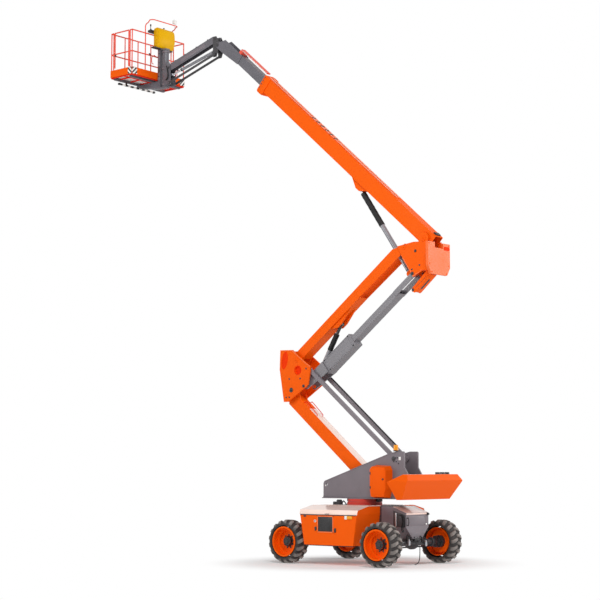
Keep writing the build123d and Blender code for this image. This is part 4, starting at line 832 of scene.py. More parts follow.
# ---------------- wheels
@dataclass
class Wheel:
    """A lugged traction tyre on a dished steel rim, with its nuts, hub cap and valve."""

    name: str
    centre: np.ndarray
    outward: float
    radius: float = 0.465
    width: float = 0.355
    bead: float = 0.318
    lug: float = 0.032
    lugs: int = 17

    def profile(self, count: int = 56) -> np.ndarray:
        """The tyre's section from one bead over the tread to the other.

        Args:
            count: points.

        Returns:
            Rows of radius and sideways place. The section is a squared oval: width times the signed power 0.55 of the
            cosine, and height times the power 0.62 of the sine.
        """
        turn = np.linspace(math.pi + 0.28, -0.28, count)
        side, rise = np.cos(turn), np.sin(turn)
        half = self.width / 2
        crown = self.radius - self.lug
        middle = (crown + self.bead) / 2 - 0.004
        sideways = half * 0.985 * np.sign(side) * np.abs(side) ** 0.55
        height = middle + (crown - middle) * np.sign(rise) * np.abs(rise) ** 0.62
        return np.stack([height, sideways], axis=1)

    def tyre(self) -> None:
        """Builds the tyre: the section turned round, raised by lugs that lean from the middle to the shoulders.

        The lug height is a product of two trapezoid waves: one along the turn, whose phase shifts with the distance
        from the middle and by half a lug between the sides, and one across, which stops short of the middle.
        """
        rows = self.profile()
        turns = np.linspace(0.0, 2 * math.pi, self.lugs * 28, endpoint=False)
        angle, section = np.meshgrid(turns, np.arange(len(rows)), indexing="ij")
        radius, sideways = rows[section, 0], rows[section, 1]
        reach = np.abs(sideways) / (self.width / 2)
        phase = angle * self.lugs / (2 * math.pi) + 0.42 * reach + np.where(sideways > 0, 0.5, 0.0)
        wave = phase - np.floor(phase)
        broad = 0.20 + 0.10 * reach
        along = np.clip((broad - np.abs(wave - 0.4)) / 0.035, 0.0, 1.0)
        shoulder = np.clip((radius - (self.bead + 0.052)) / 0.03, 0.0, 1.0)
        gap = np.clip((np.abs(sideways) - 0.012) / 0.008, 0.0, 1.0)
        bar = np.clip((0.5 - np.abs(wave - 0.4) / 0.5) / 0.03, 0.0, 1.0)
        height = along * shoulder * gap * bar
        tread = np.clip((radius - (self.radius - self.lug - 0.05)) / 0.05, 0.0, 1.0)
        lift = self.lug * height * (0.35 + 0.65 * tread)
        ribs = 0.0018 * np.sin((radius - self.bead) * 260.0) * (1 - tread)
        out = radius + lift * (0.25 + 0.75 * tread)
        aside = sideways + np.sign(sideways) * (lift * 0.14 + ribs) * (1 - 0.8 * tread)
        aside = np.clip(aside, -self.width / 2, self.width / 2)
        out = np.minimum(out, self.radius)
        x, y, z = self.centre
        made = Shape()
        points = [x + out * np.cos(angle), y + aside, z + out * np.sin(angle)]
        made.grid(np.stack(points, axis=-1), closed_u=True, closed_v=True)
        # the pale share rises on the lug tops and the tread: wear with a painted highlight
        wear_and_highlight = (height * (0.25 + 0.75 * tread) + 0.12).reshape(-1)
        body = f"wheel_{self.name}"
        item = made.piece(f"tread_{self.name}", LUGS, body, "tyre", angle=32.0, rub=np.clip(wear_and_highlight, 0, 1))
        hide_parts(f"tyre_{self.name}")

    def rim(self) -> None:
        """Adds the black hub with its bolts, the nuts, the bright lip and the valve."""
        side = np.array([0.0, self.outward, 0.0])
        disc = self.centre - side * 0.0115
        hub = Shape()
        profile = [(0.118, 0.0), (0.118, 0.012), (0.104, 0.02), (0.104, 0.066)]
        profile += [(0.094, 0.078), (0.055, 0.08), (0.048, 0.092)]
        hub.lathe(profile, disc, side, 40)
        for dx, dz in circle(0.079, 8, 0.2):
            hub.bolt(disc + np.array([dx, 0.0, dz]) + side * 0.078, side, 0.008)
        hub.piece(f"hub_cap_{self.name}", BLACK, f"wheel_{self.name}")
        nuts = Shape()
        for dx, dz in circle(0.137, 9, 0.2):
            nuts.bolt(disc + np.array([dx, 0.0, dz]), side, 0.011)
        nuts.piece(f"wheel_nuts_{self.name}", CHARCOAL, f"wheel_{self.name}")
        lip = Shape()
        lip.lathe(
            [(0.287, 0.140), (0.289, 0.163), (0.300, 0.172), (0.315, 0.171), (0.321, 0.160), (0.300, 0.150)],
            self.centre,
            side,
            64,
            ring=True,
        )
        lip.tube(smooth([disc + np.array([0.2, 0, 0.12]) + side * v for v in (0.0, 0.02, 0.035)]), 0.006, 8)
        lip.piece(f"rim_lip_{self.name}", ORANGE, f"wheel_{self.name}", "orange")

    def build(self) -> None:
        """Builds the tyre and dresses the rim."""
        self.tyre()
        self.rim()


# ---------------- shared layout
SIDES = {"left": -1.0, "right": 1.0}
ACROSS = (0.0, 1.0, 0.0)  # to the machine's right
AFT = (1.0, 0.0, 0.0)  # towards the counterweight
UP = (0.0, 0.0, 1.0)


@dataclass
class Layout:
    """Where the machine's pins stand, read from the record's joints."""

    joints: dict

    @property
    def slew_x(self) -> float:
        """The slewing axis's place along the machine."""
        return float(self.joints["slew"]["pos_m"][0])

    def pin(self, joint: str) -> np.ndarray:
        """The middle of a joint's pin."""
        return np.array(self.joints[joint]["pos_m"], float)

    def axis(self, joint: str) -> np.ndarray:
        """The direction of a joint's axis, one long."""
        return unit(self.joints[joint]["axis"])

    def at(self, x: float, y: float, z: float) -> np.ndarray:
        """A point whose first coordinate is counted from the slewing axis."""
        return np.array([self.slew_x + x, y, z])

    def beam(self, foot: str, head: str, through: str = "") -> Beam:
        """Finds a member's line.

        Args:
            foot: the joint at its foot.
            head: the joint at its head.
            through: a third joint, whose pin the foot is moved to.

        Returns:
            The line between the two joints' pins, or the one beside it that starts at the third.
        """
        start, end = self.pin(foot), self.pin(head)
        shift = self.pin(through) - start if through else np.zeros(3)
        return Beam(tuple(start + shift), tuple(end + shift))


@dataclass
class Assembly:
    """A group of pieces placed on the machine."""

    layout: Layout

    def at(self, x: float, y: float, z: float) -> np.ndarray:
        """A point whose first coordinate is counted from the slewing axis."""
        return self.layout.at(x, y, z)

    def wall(self, shape: Shape, outline: Sequence[Point], y: float, thick: float, edge: float = 0.002) -> None:
        """Lays a plate on an upright face that looks sideways.

        Args:
            shape: the mesh that it joins.
            outline: pairs of x from the slewing axis and z.
            y: the face.
            thick: how far the plate stands out, away from the middle.
            edge: its rounded edge.
        """
        low, high = (0.0, thick) if y < 0 else (-thick, 0.0)
        shape.plate(np.asarray(outline, float), self.at(0, y, 0), AFT, UP, low, high, edge)

    def end(self, shape: Shape, outline: Sequence[Point], x: float, thick: float, edge: float = 0.002) -> None:
        """Lays a plate on an upright face that looks backwards; its outline holds pairs of y and z."""
        shape.plate(np.asarray(outline, float), self.at(x, 0, 0), ACROSS, UP, 0.0, thick, edge)

    def flank(
        self, shape: Shape, beam: Beam, outline: Sequence[Point], y: float, thick: float, edge: float = 0.002
    ) -> None:
        """Lays a plate on a member's side; its outline holds pairs of distance along it and above its pin line."""
        outwards = np.cross(beam.along, beam.up)[1] * y > 0
        low, high = (0.0, thick) if outwards else (-thick, 0.0)
        shape.plate(np.asarray(outline, float), beam.at(0, 0, y), beam.along, beam.up, low, high, edge)

    def above(
        self, shape: Shape, beam: Beam, middle: Point, size: Point, radius: float, depth: float, edge: float
    ) -> None:
        """Lays a plate with round corners across a member.

        Args:
            shape: the mesh that it joins.
            beam: the member.
            middle: the plate's middle, as a distance along the member and one above its pin line.
            size: its length along the member and its width across the machine.
            radius: of its corners.
            depth: how far it stands up; below zero it hangs down.
            edge: its rounded edge.
        """
        rises = np.dot(np.cross(beam.along, ACROSS), beam.up) > 0
        low, high = sorted((0.0, depth if rises else -depth))
        shape.plate(rounded(*size, radius), beam.at(*middle), beam.along, ACROSS, low, high, edge)

    def hose(self, shape: Shape, run: Sequence[Point], radius: float, sides: int = 10, steps: int = 8) -> None:
        """Leads a hose softly through places whose first coordinates are counted from the slewing axis."""
        shape.tube(smooth([self.at(*place) for place in run], steps), radius, sides)

    def caps(self, name: str, body: str, pins: Sequence[tuple[np.ndarray, float, float]], finish: Finish) -> None:
        """Puts a cap on both ends of pins that lie across the machine.

        Args:
            name: the piece's name.
            body: what it rides on.
            pins: each pin's middle, the distance from the centre plane to its end face, and the cap's radius.
            finish: the caps' finish.
        """
        shape = Shape()
        for middle, half, radius in pins:
            for side in SIDES.values():
                shape.cap((middle[0], side * half, middle[2]), (0.0, side, 0.0), radius)
        shape.piece(name, finish, body)

    @staticmethod
    def box(low_u: float, high_u: float, low_v: float, high_v: float, radius: float = 0.01) -> np.ndarray:
        """A rectangle with round corners between two values on each axis."""
        middle = np.array([(low_u + high_u) / 2, (low_v + high_v) / 2])
        return rounded(high_u - low_u, high_v - low_v, radius) + middle


# ---------------- chassis
@dataclass
class Chassis(Assembly):
    """The side boxes' panels, latches and lamps, the rear hood's fittings, the nose's and the rear axle's."""

    box_y: float = 1.2
    recess: tuple[float, float, float, float] = (-0.318, 0.077, 0.703, 1.013)
    frame_wide: float = 0.022
    louvre: float = 0.026
    lock: tuple[float, float] = (-0.40, 0.92)
    hood_top: float = 1.24
    rear_x: float = 1.4
    nose_x: float = -1.4
    hood_half: float = 0.4
    axle: tuple[float, float] = (1.25, 0.465)
    steer_x: float = 1.372
    drive: tuple[float, float] = (-0.47, -0.29)
    teeth: int = 96

    def grille(self, name: str, y: float) -> None:
        """Adds a side box's louvred recess and the frame round it, drawn pale as a painted highlight."""
        x0, x1, z0, z1 = self.recess
        mesh, frame, wide = Shape(), Shape(), self.frame_wide
        self.wall(mesh, self.box(x0, x1, z0, z1), y, 0.002, 0.0005)
        for z in np.arange(z0 + 0.03, z1 - 0.02, self.louvre):
            self.wall(mesh, self.box(x0 + 0.03, x1 - 0.13, z, z + self.louvre * 0.45, 0.004), y, 0.007)
        for x in np.arange(x1 - 0.105, x1 - 0.02, 0.018):
            self.wall(mesh, self.box(x, x + 0.007, z0 + 0.03, z1 - 0.03, 0.003), y, 0.005, 0.001)
        mesh.piece(f"box_grille_{name}", BLACK, "chassis")
        for strip in (
            (x0 - wide, x1 + wide, z1, z1 + wide),
            (x0 - wide, x1 + wide, z0 - wide, z0),
            (x0 - wide, x0, z0 - wide, z1 + wide),
            (x1, x1 + wide, z0 - wide, z1 + wide),
        ):
            self.wall(frame, self.box(*strip, 0.006), y, 0.010, 0.003)
        frame.piece(f"box_panels_{name}", PALE_ORANGE, "chassis")

    def latches(self, name: str, side: float) -> None:
        """Adds a side box's catches, its lock and its lid's clips."""
        y, dark = side * self.box_y, Shape()
        lock_x, lock_z = self.lock
        for strip, radius, thick, edge in (
            ((-0.407, -0.357, 0.74, 0.80), 0.008, 0.016, 0.005),
            ((0.122, 0.172, 0.705, 0.78), 0.008, 0.016, 0.005),
            ((-0.395, -0.369, 0.72, 0.745), 0.006, 0.024, 0.004),
            ((0.134, 0.160, 0.685, 0.71), 0.006, 0.024, 0.004),
        ):
            self.wall(dark, self.box(*strip, radius), y, thick, edge)
        dark.lathe([(0.016, 0.0), (0.016, 0.008), (0.006, 0.010)], self.at(lock_x, y, lock_z), (0, side, 0), 20)
        for x in (-0.68, -0.06, 0.52):
            self.wall(dark, self.box(x - 0.035, x + 0.035, 1.004, 1.034, 0.006), y, 0.008)
        dark.piece(f"box_latches_{name}", BLACK, "chassis")

    def side_lamp(self, name: str, side: float) -> None:
        """Adds the lock's pale collar, the side lamp's base and the lamp."""
        y, white, lamp = side * self.box_y, Shape(), Shape()
        lock_x, lock_z = self.lock
        white.lathe([(0.028, 0.0), (0.028, 0.005), (0.016, 0.006)], self.at(lock_x, y, lock_z), (0, side, 0), 24)
        self.wall(white, self.box(0.407, 0.470, 0.969, 1.044, 0.008), y, 0.020, 0.005)
        white.piece(f"lamp_base_{name}", WHITE, "chassis")
        self.wall(lamp, self.box(0.468, 0.610, 0.973, 1.040, 0.010), y, 0.024, 0.008)
        lamp.piece(f"side_lamp_{name}", AMBER, "chassis")

    def lid(self, name: str, side: float) -> None:
        """Adds a side box's seal and foot rail, and its lid's ribs and grip."""
        y, at = side * self.box_y, self.at
        seal, ribs, grip = Shape(), Shape(), Shape()
        self.wall(seal, [(-0.808, 1.040), (0.706, 1.040), (0.712, 1.059), (-0.814, 1.059)], y, 0.004)
        y_low, y_high = sorted((y * 0.93, y * 0.995))
        seal.block(at(-0.69, y_low, 0.403), at(0.61, y_high, 0.42))
        seal.piece(f"box_seal_{name}", HOSE, "chassis")
        y_low, y_high = sorted((side * 0.425, side * 0.805))
        for x in (-0.80, -0.28, 0.24):
            ribs.block(at(x, y_low, self.hood_top), at(x + 0.47, y_high, self.hood_top + 0.005), 0.002)
        # the lid's ribs take the pale lid colour: a painted highlight
        ribs.piece(f"lid_ribs_{name}", HIGHLIGHT_LID, f"hood_{name}")
        foot, out = self.box_y + 0.005, 0.022
        run = [(-0.12, foot), (-0.11, foot + out), (-0.03, foot + out), (-0.02, foot)]
        self.hose(grip, [(x, side * away, 1.072) for x, away in run], 0.006, steps=6)
        grip.piece(f"lid_grip_{name}", BLACK, f"hood_{name}")

    def rear_end(self) -> None:
        """Adds the rear hood's top, drawn pale as a painted highlight, its vents, camera, hook, lamp and bolted
        panels.
        """
        x, at = self.rear_x, self.at
        top, dark, white, grey = Shape(), Shape(), Shape(), Shape()
        # the sloping top and the band on its end are drawn in the pale lid colour: a painted highlight
        slope = Beam(tuple(at(1.0376, 0, 1.230)), tuple(at(x, 0, 1.0986)))
        self.above(top, slope, (slope.length / 2, 0.0), (slope.length, 0.78), 0.02, 0.004, 0.001)
        self.end(top, self.box(-0.392, 0.392, 1.062, 1.092, 0.01), x, 0.004)
        top.piece("rear_lid", HIGHLIGHT_LID, "chassis")
        for z in np.arange(0.845, 1.0, 0.019):
            self.end(dark, self.box(-0.394, -0.377, z, z + 0.010, 0.003), x, 0.003, 0.001)
        self.end(dark, self.box(0.335, 0.392, 1.045, 1.092, 0.01), x, 0.035, 0.006)
        dark.lathe([(0.014, 0.0), (0.014, 0.008), (0.010, 0.009)], at(x + 0.035, 0.364, 1.068), AFT, 20)
        hook = ((0.0, 0.99), (0.03, 0.995), (0.042, 0.92), (0.03, 0.845), (0.0, 0.85))
        self.hose(dark, [(x + out, -0.357, z) for out, z in hook], 0.008, steps=6)
        dark.piece("rear_fittings", BLACK, "chassis")
        white.lathe([(0.020, 0.0), (0.020, 0.010), (0.012, 0.016)], at(x, 0.311, 0.858), AFT, 24)
        white.piece("rear_lamp", LENS, "chassis")
        self.end(grey, self.box(-0.34, 0.27, 0.83, 1.03, 0.02), x, 0.003)
        self.end(grey, [(-0.27, 0.70), (0.27, 0.70), (0.17, 0.60), (-0.17, 0.60)], x, 0.004)
        for y, z in ((-0.32, 0.85), (0.25, 0.85), (-0.32, 1.01), (0.25, 1.01), (-0.2, 0.68), (0.2, 0.68)):
            grey.bolt(at(x + 0.003, y, z), AFT, 0.007)
        grey.piece("rear_panels", GREY, "chassis")

    def hood_sides(self) -> None:
        """Adds the rear hood's dark side panels, each with a pale post and a pair of hanging hoses."""
        panel, post, hoses = Shape(), Shape(), Shape()
        drop = ((0.0, 1.05), (0.03, 1.06), (0.075, 0.99), (0.08, 0.88), (0.055, 0.78), (0.085, 0.70))
        for side in SIDES.values():
            y = side * self.hood_half
            self.wall(panel, [(1.07, 0.805), (1.385, 0.805), (1.385, 1.06), (1.07, 1.15)], y, 0.003, 0.001)
            self.wall(post, self.box(1.125, 1.165, 0.81, 1.10, 0.008), y + side * 0.003, 0.016, 0.004)
            for x, away in ((1.235, 0.016), (1.275, 0.022)):
                self.hose(hoses, [(x + back, y + side * away, z) for back, z in drop], 0.011, 12)
        panel.piece("hood_side_panels", CHARCOAL, "chassis")
        post.piece("hood_side_posts", ZINC, "chassis")
        hoses.piece("hood_side_hoses", HOSE, "chassis")

    def front_end(self) -> None:
        """Adds the nose's cover plate and its lamps."""
        plate, lamps, ahead = Shape(), Shape(), (-1, 0, 0)
        outline = self.box(-0.33, 0.33, 0.80, 1.03, 0.02)
        plate.plate(outline, self.at(self.nose_x, 0, 0), (0, -1, 0), UP, 0.0, 0.004)
        for y, z in ((-0.3, 0.82), (0.3, 0.82), (-0.3, 1.01), (0.3, 1.01)):
            plate.bolt(self.at(self.nose_x - 0.004, y, z), ahead, 0.007)
        plate.piece("nose_plate", GREY, "chassis")
        for y in (-0.25, 0.25):
            lamps.lathe([(0.03, 0.0), (0.03, 0.012), (0.018, 0.02)], self.at(self.nose_x, y, 0.74), ahead, 24)
        lamps.piece("nose_lamps", LENS, "chassis")

    def steering(self) -> None:
        """Adds the steering cylinder behind the rear axle and the chassis' hoses."""
        at, steer, hoses = self.at, Shape(), Shape()
        middle = at(self.steer_x, 0, self.axle[1])
        steer.lathe([(0.030, -0.27), (0.036, -0.26), (0.036, 0.26), (0.030, 0.27)], middle, ACROSS, 28)
        steer.lathe([(0.016, -0.42), (0.016, 0.42)], middle, ACROSS, 20)
        for y in (-0.2, 0.2):
            steer.block(at(1.305, y - 0.02, 0.44), at(1.345, y + 0.02, 0.49))
        steer.piece("steering_cylinder", IRON, "chassis")
        ends = ((0.12, 0.0, 0.013), (0.17, 0.03, 0.010), (0.33, 0.05, 0.013), (-0.15, 0.02, 0.010))
        for y, drop, radius in ends:
            run = [(1.33, y * 0.5, 0.62), (1.42, y * 0.8, 0.60 - drop)]
            run += [(1.44, y, 0.53 - drop), (1.40, y * 1.15, 0.475)]
            self.hose(hoses, run, radius, 12)
        deck_loop = [(-0.42, -0.1, 1.236), (-0.441, -0.14, 1.30), (-0.42, -0.22, 1.32), (-0.399, -0.3, 1.236)]
        self.hose(hoses, deck_loop, 0.012, 12)
        hoses.piece("chassis_hoses", HOSE, "chassis")

    def axle_units(self) -> None:
        """Adds the rear axle's bulged housing with its round cover, pots, flanges and clamps."""
        at, case, pots = self.at, Shape(), Shape()
        x, z = self.axle
        bulge = [(0.062, -0.20), (0.115, -0.11), (0.135, -0.04), (0.135, 0.04), (0.115, 0.11), (0.062, 0.20)]
        case.lathe(bulge, at(x, 0, z), ACROSS, 36)
        cover = [(0.10, 0.0), (0.10, 0.018), (0.075, 0.040), (0.045, 0.046)]
        case.lathe(cover, at(self.steer_x, 0, 0.50), AFT, 28)
        for dy, dz in circle(0.088, 8):
            case.bolt(at(self.steer_x + 0.018, dy, 0.50 + dz), AFT, 0.007)
        post = [(0.030, 0.0), (0.034, 0.006), (0.034, 0.10), (0.020, 0.106), (0.020, 0.16)]
        flange = [(0.085, 0.0), (0.098, 0.014), (0.098, 0.05), (0.070, 0.07)]
        for side in SIDES.values():
            case.lathe(post, at(1.33, side * 0.235, 0.50), UP, 24)
            case.lathe(flange, at(x, side * 0.66, z), (0, side, 0), 32)
            y_low, y_high = sorted((side * 0.20, side * 0.27))
            case.block(at(1.30, y_low, 0.455), at(1.36, y_high, 0.505), 0.006)
        case.piece("rear_axle_units", IRON, "chassis")
        pot = [(0.020, 0.0), (0.030, 0.006), (0.030, 0.095), (0.018, 0.105), (0.018, 0.125)]
        for y, low in ((0.262, 0.395), (-0.335, 0.43)):
            pots.lathe(pot, at(1.425, y, low), UP, 28)
        pots.piece("rear_axle_pots", ZINC, "chassis")

    def slew_drive(self) -> None:
        """Adds the drive that turns the slewing ring, and the ring's teeth.

        The teeth stand on a circle whose radius is raised by a clipped sine of the angle times their number.
        """
        at, drive, teeth = self.at, Shape(), Shape()
        x, y = self.drive
        motor = [(0.075, 0.0), (0.075, 0.05), (0.062, 0.06), (0.062, 0.105), (0.045, 0.12)]
        drive.lathe(motor, at(x, y, 1.235), UP, 32)
        drive.block(at(-0.62, -0.33, 1.236), at(-0.53, -0.25, 1.31), 0.006)
        for dx, dy in circle(0.068, 8):
            drive.bolt(at(x + dx, y + dy, 1.285), UP, 0.005)
        drive.piece("slew_drive", IRON, "chassis")
        turns = np.linspace(0, 2 * math.pi, self.teeth * 6, endpoint=False)
        angle, level = np.meshgrid(turns, np.array([1.252, 1.254, 1.290, 1.292]), indexing="ij")
        wave = np.clip(0.5 + 1.4 * np.sin(angle * self.teeth), 0, 1) * ((level > 1.253) & (level < 1.291))
        reach = 0.376 + 0.006 * wave
        points = [self.layout.slew_x + reach * np.cos(angle), reach * np.sin(angle), level]
        teeth.grid(np.stack(points, axis=-1), closed_u=True)
        teeth.piece("ring_teeth", RING, "chassis")

    def ring_sleeve(self) -> None:
        """Adds the red skirt round the turntable's foot and the black couplings at its two ends."""
        skirt, ends = Shape(), Shape()
        profile = [(0.351, 0.0), (0.366, 0.002), (0.366, 0.058), (0.351, 0.062)]
        skirt.lathe(profile, self.at(0, 0, 1.313), UP, 72, ring=True)
        skirt.piece("ring_skirt", RING, "turntable")
        for x in (-0.40, 0.40):
            ends.block(self.at(x - 0.035, -0.07, 1.318), self.at(x + 0.035, 0.07, 1.376), 0.006)
        ends.piece("ring_couplings", BLACK, "turntable")

    def build(self) -> None:
        """Builds every piece of the chassis."""
        for name, side in SIDES.items():
            self.grille(name, side * self.box_y)
            self.latches(name, side)
            self.side_lamp(name, side)
            self.lid(name, side)
        self.rear_end()
        self.hood_sides()
        self.front_end()
        self.steering()
        self.axle_units()
        self.slew_drive()
        self.ring_sleeve()


# ---------------- turntable
@dataclass
class Turntable(Assembly):
    """The side plates' flanges and buttons, the control pod's door, and the counterweight's caps."""

    plate_y: float = 0.26
    pod_y: float = -0.47
    deck: float = 1.4
    weight_top: float = 1.905

    def plates(self) -> None:
        """Adds the flange along each side plate's foot and upper edge, the buttons, tags and pins' caps."""
        flange, buttons, tags, base = Shape(), Shape(), Shape(), Shape()
        upper = [(-0.92, 1.745), (-0.88, 1.765), (0.85, 2.34), (1.06, 2.385)]
        upper += [(1.06, 2.367), (0.855, 2.322), (-0.875, 1.747), (-0.913, 1.728)]
        for side, x_end in ((-1.0, 0.46), (1.0, 1.345)):
            y = side * self.plate_y
            self.wall(flange, self.box(-0.94, x_end, self.deck, 1.428, 0.004), y, 0.012, 0.003)
            self.wall(flange, upper, y, 0.006)
            for x in np.arange(-0.88, 0.44, 0.22):
                flange.bolt(self.at(x, y + side * 0.012, 1.414), (0, side, 0), 0.007)
        flange.piece("turntable_flanges", GREY, "turntable")
        button = [(0.013, 0.0), (0.013, 0.006), (0.009, 0.012)]
        for x, z in ((0.99, 2.25), (1.04, 2.25), (1.09, 2.25), (0.99, 2.17), (1.05, 2.17), (1.11, 2.13)):
            buttons.lathe(button, self.at(x, -self.plate_y, z), (0, -1, 0), 16)
        buttons.piece("plate_buttons", BLACK, "turntable")
        self.wall(tags, self.box(1.115, 1.17, 2.20, 2.27, 0.004), -self.plate_y, 0.004, 0.001)
        self.wall(tags, self.box(-0.889, -0.863, 1.638, 1.672, 0.004), -self.plate_y, 0.003, 0.001)
        tags.piece("plate_tags", WHITE, "turntable")
        base.lathe([(0.062, 0.0), (0.062, 0.012), (0.052, 0.02)], self.at(1.03, -0.2425, 2.386), UP, 28)
        base.piece("beacon_foot", BLACK, "turntable")
        self.caps("bar_pin_caps", "turntable", [(self.layout.pin("lower_bars_swing"), self.plate_y, 0.05)], CHARCOAL)

    def pod(self) -> None:
        """Adds the control pod's door, hinges and latch."""
        y, door, dark = self.pod_y, Shape(), Shape()
        outline = [(0.545, 1.47), (0.865, 1.47), (0.895, 1.62), (0.895, 1.97)]
        outline += [(0.865, 2.03), (0.565, 2.04), (0.525, 1.99), (0.525, 1.62)]
        self.wall(door, outline, y, 0.006, 0.003)
        door.piece("pod_door", ORANGE, "turntable")
        for z in (1.60, 1.90):
            self.wall(dark, self.box(0.508, 0.532, z, z + 0.05, 0.005), y, 0.012, 0.004)
        dark.lathe([(0.02, 0.0), (0.02, 0.012), (0.012, 0.016)], self.at(0.855, y - 0.006, 1.80), (0, -1, 0), 20)
        dark.piece("pod_fittings", BLACK, "turntable")

    def weight(self) -> None:
        """Adds the counterweight's lifting caps and its top, drawn pale as a painted highlight."""
        caps, top, at, z = Shape(), Shape(), self.at, self.weight_top
        for y in (0.25, 0.42, 0.59):
            caps.lathe([(0.052, 0.0), (0.052, 0.036), (0.046, 0.044), (0.020, 0.046)], at(1.755, y, z), UP, 24)
        caps.block(at(1.735, 0.25, z), at(1.775, 0.59, z + 0.025), 0.004)
        caps.piece("weight_caps", BLACK, "turntable")
        # the counterweight's top and its sloping edge take the pale lid colour: a painted highlight
        top.block(at(1.702, -0.892, 1.9046), at(1.808, 0.892, 1.907), 0.001)
        rise = Beam(tuple(at(1.40, 0, 1.768)), tuple(at(1.695, 0, 1.9028)))
        self.above(top, rise, (rise.length / 2, 0.0), (rise.length, 1.64), 0.01, 0.003, 0.001)
        top.piece("weight_top", HIGHLIGHT_LID, "turntable")

    def lines(self) -> None:
        """Adds the hydraulic manifold and the hoses between the side plates, and the right-hand cover."""
        block, hoses, cover = Shape(), Shape(), Shape()
        block.block(self.at(0.86, -0.12, self.deck), self.at(1.22, 0.12, 1.52), 0.006)
        for x in np.arange(0.90, 1.20, 0.07):
            block.lathe([(0.018, 0.0), (0.018, 0.05), (0.012, 0.06)], self.at(x, 0.01, 1.52), UP, 16)
        block.piece("valve_block", IRON, "turntable")
        for y, top in ((-0.20, 1.46), (-0.165, 1.47), (-0.13, 1.48), (0.15, 1.49), (0.185, 1.50)):
            run = [(-0.80, y, 1.43), (-0.45, y, 1.425), (-0.2, y * 0.8, top), (0.10, y, 1.43), (0.30, y, 1.425)]
            self.hose(hoses, run, 0.011)
        hoses.piece("turntable_hoses", HOSE, "turntable")
        self.wall(cover, self.box(0.45, 0.95, 1.50, 1.95, 0.03), self.plate_y, 0.06, 0.012)
        cover.piece("right_cover", ORANGE, "turntable")

    def build(self) -> None:
        """Builds every piece of the turntable."""
        self.plates()
        self.pod()
        self.weight()
        self.lines()


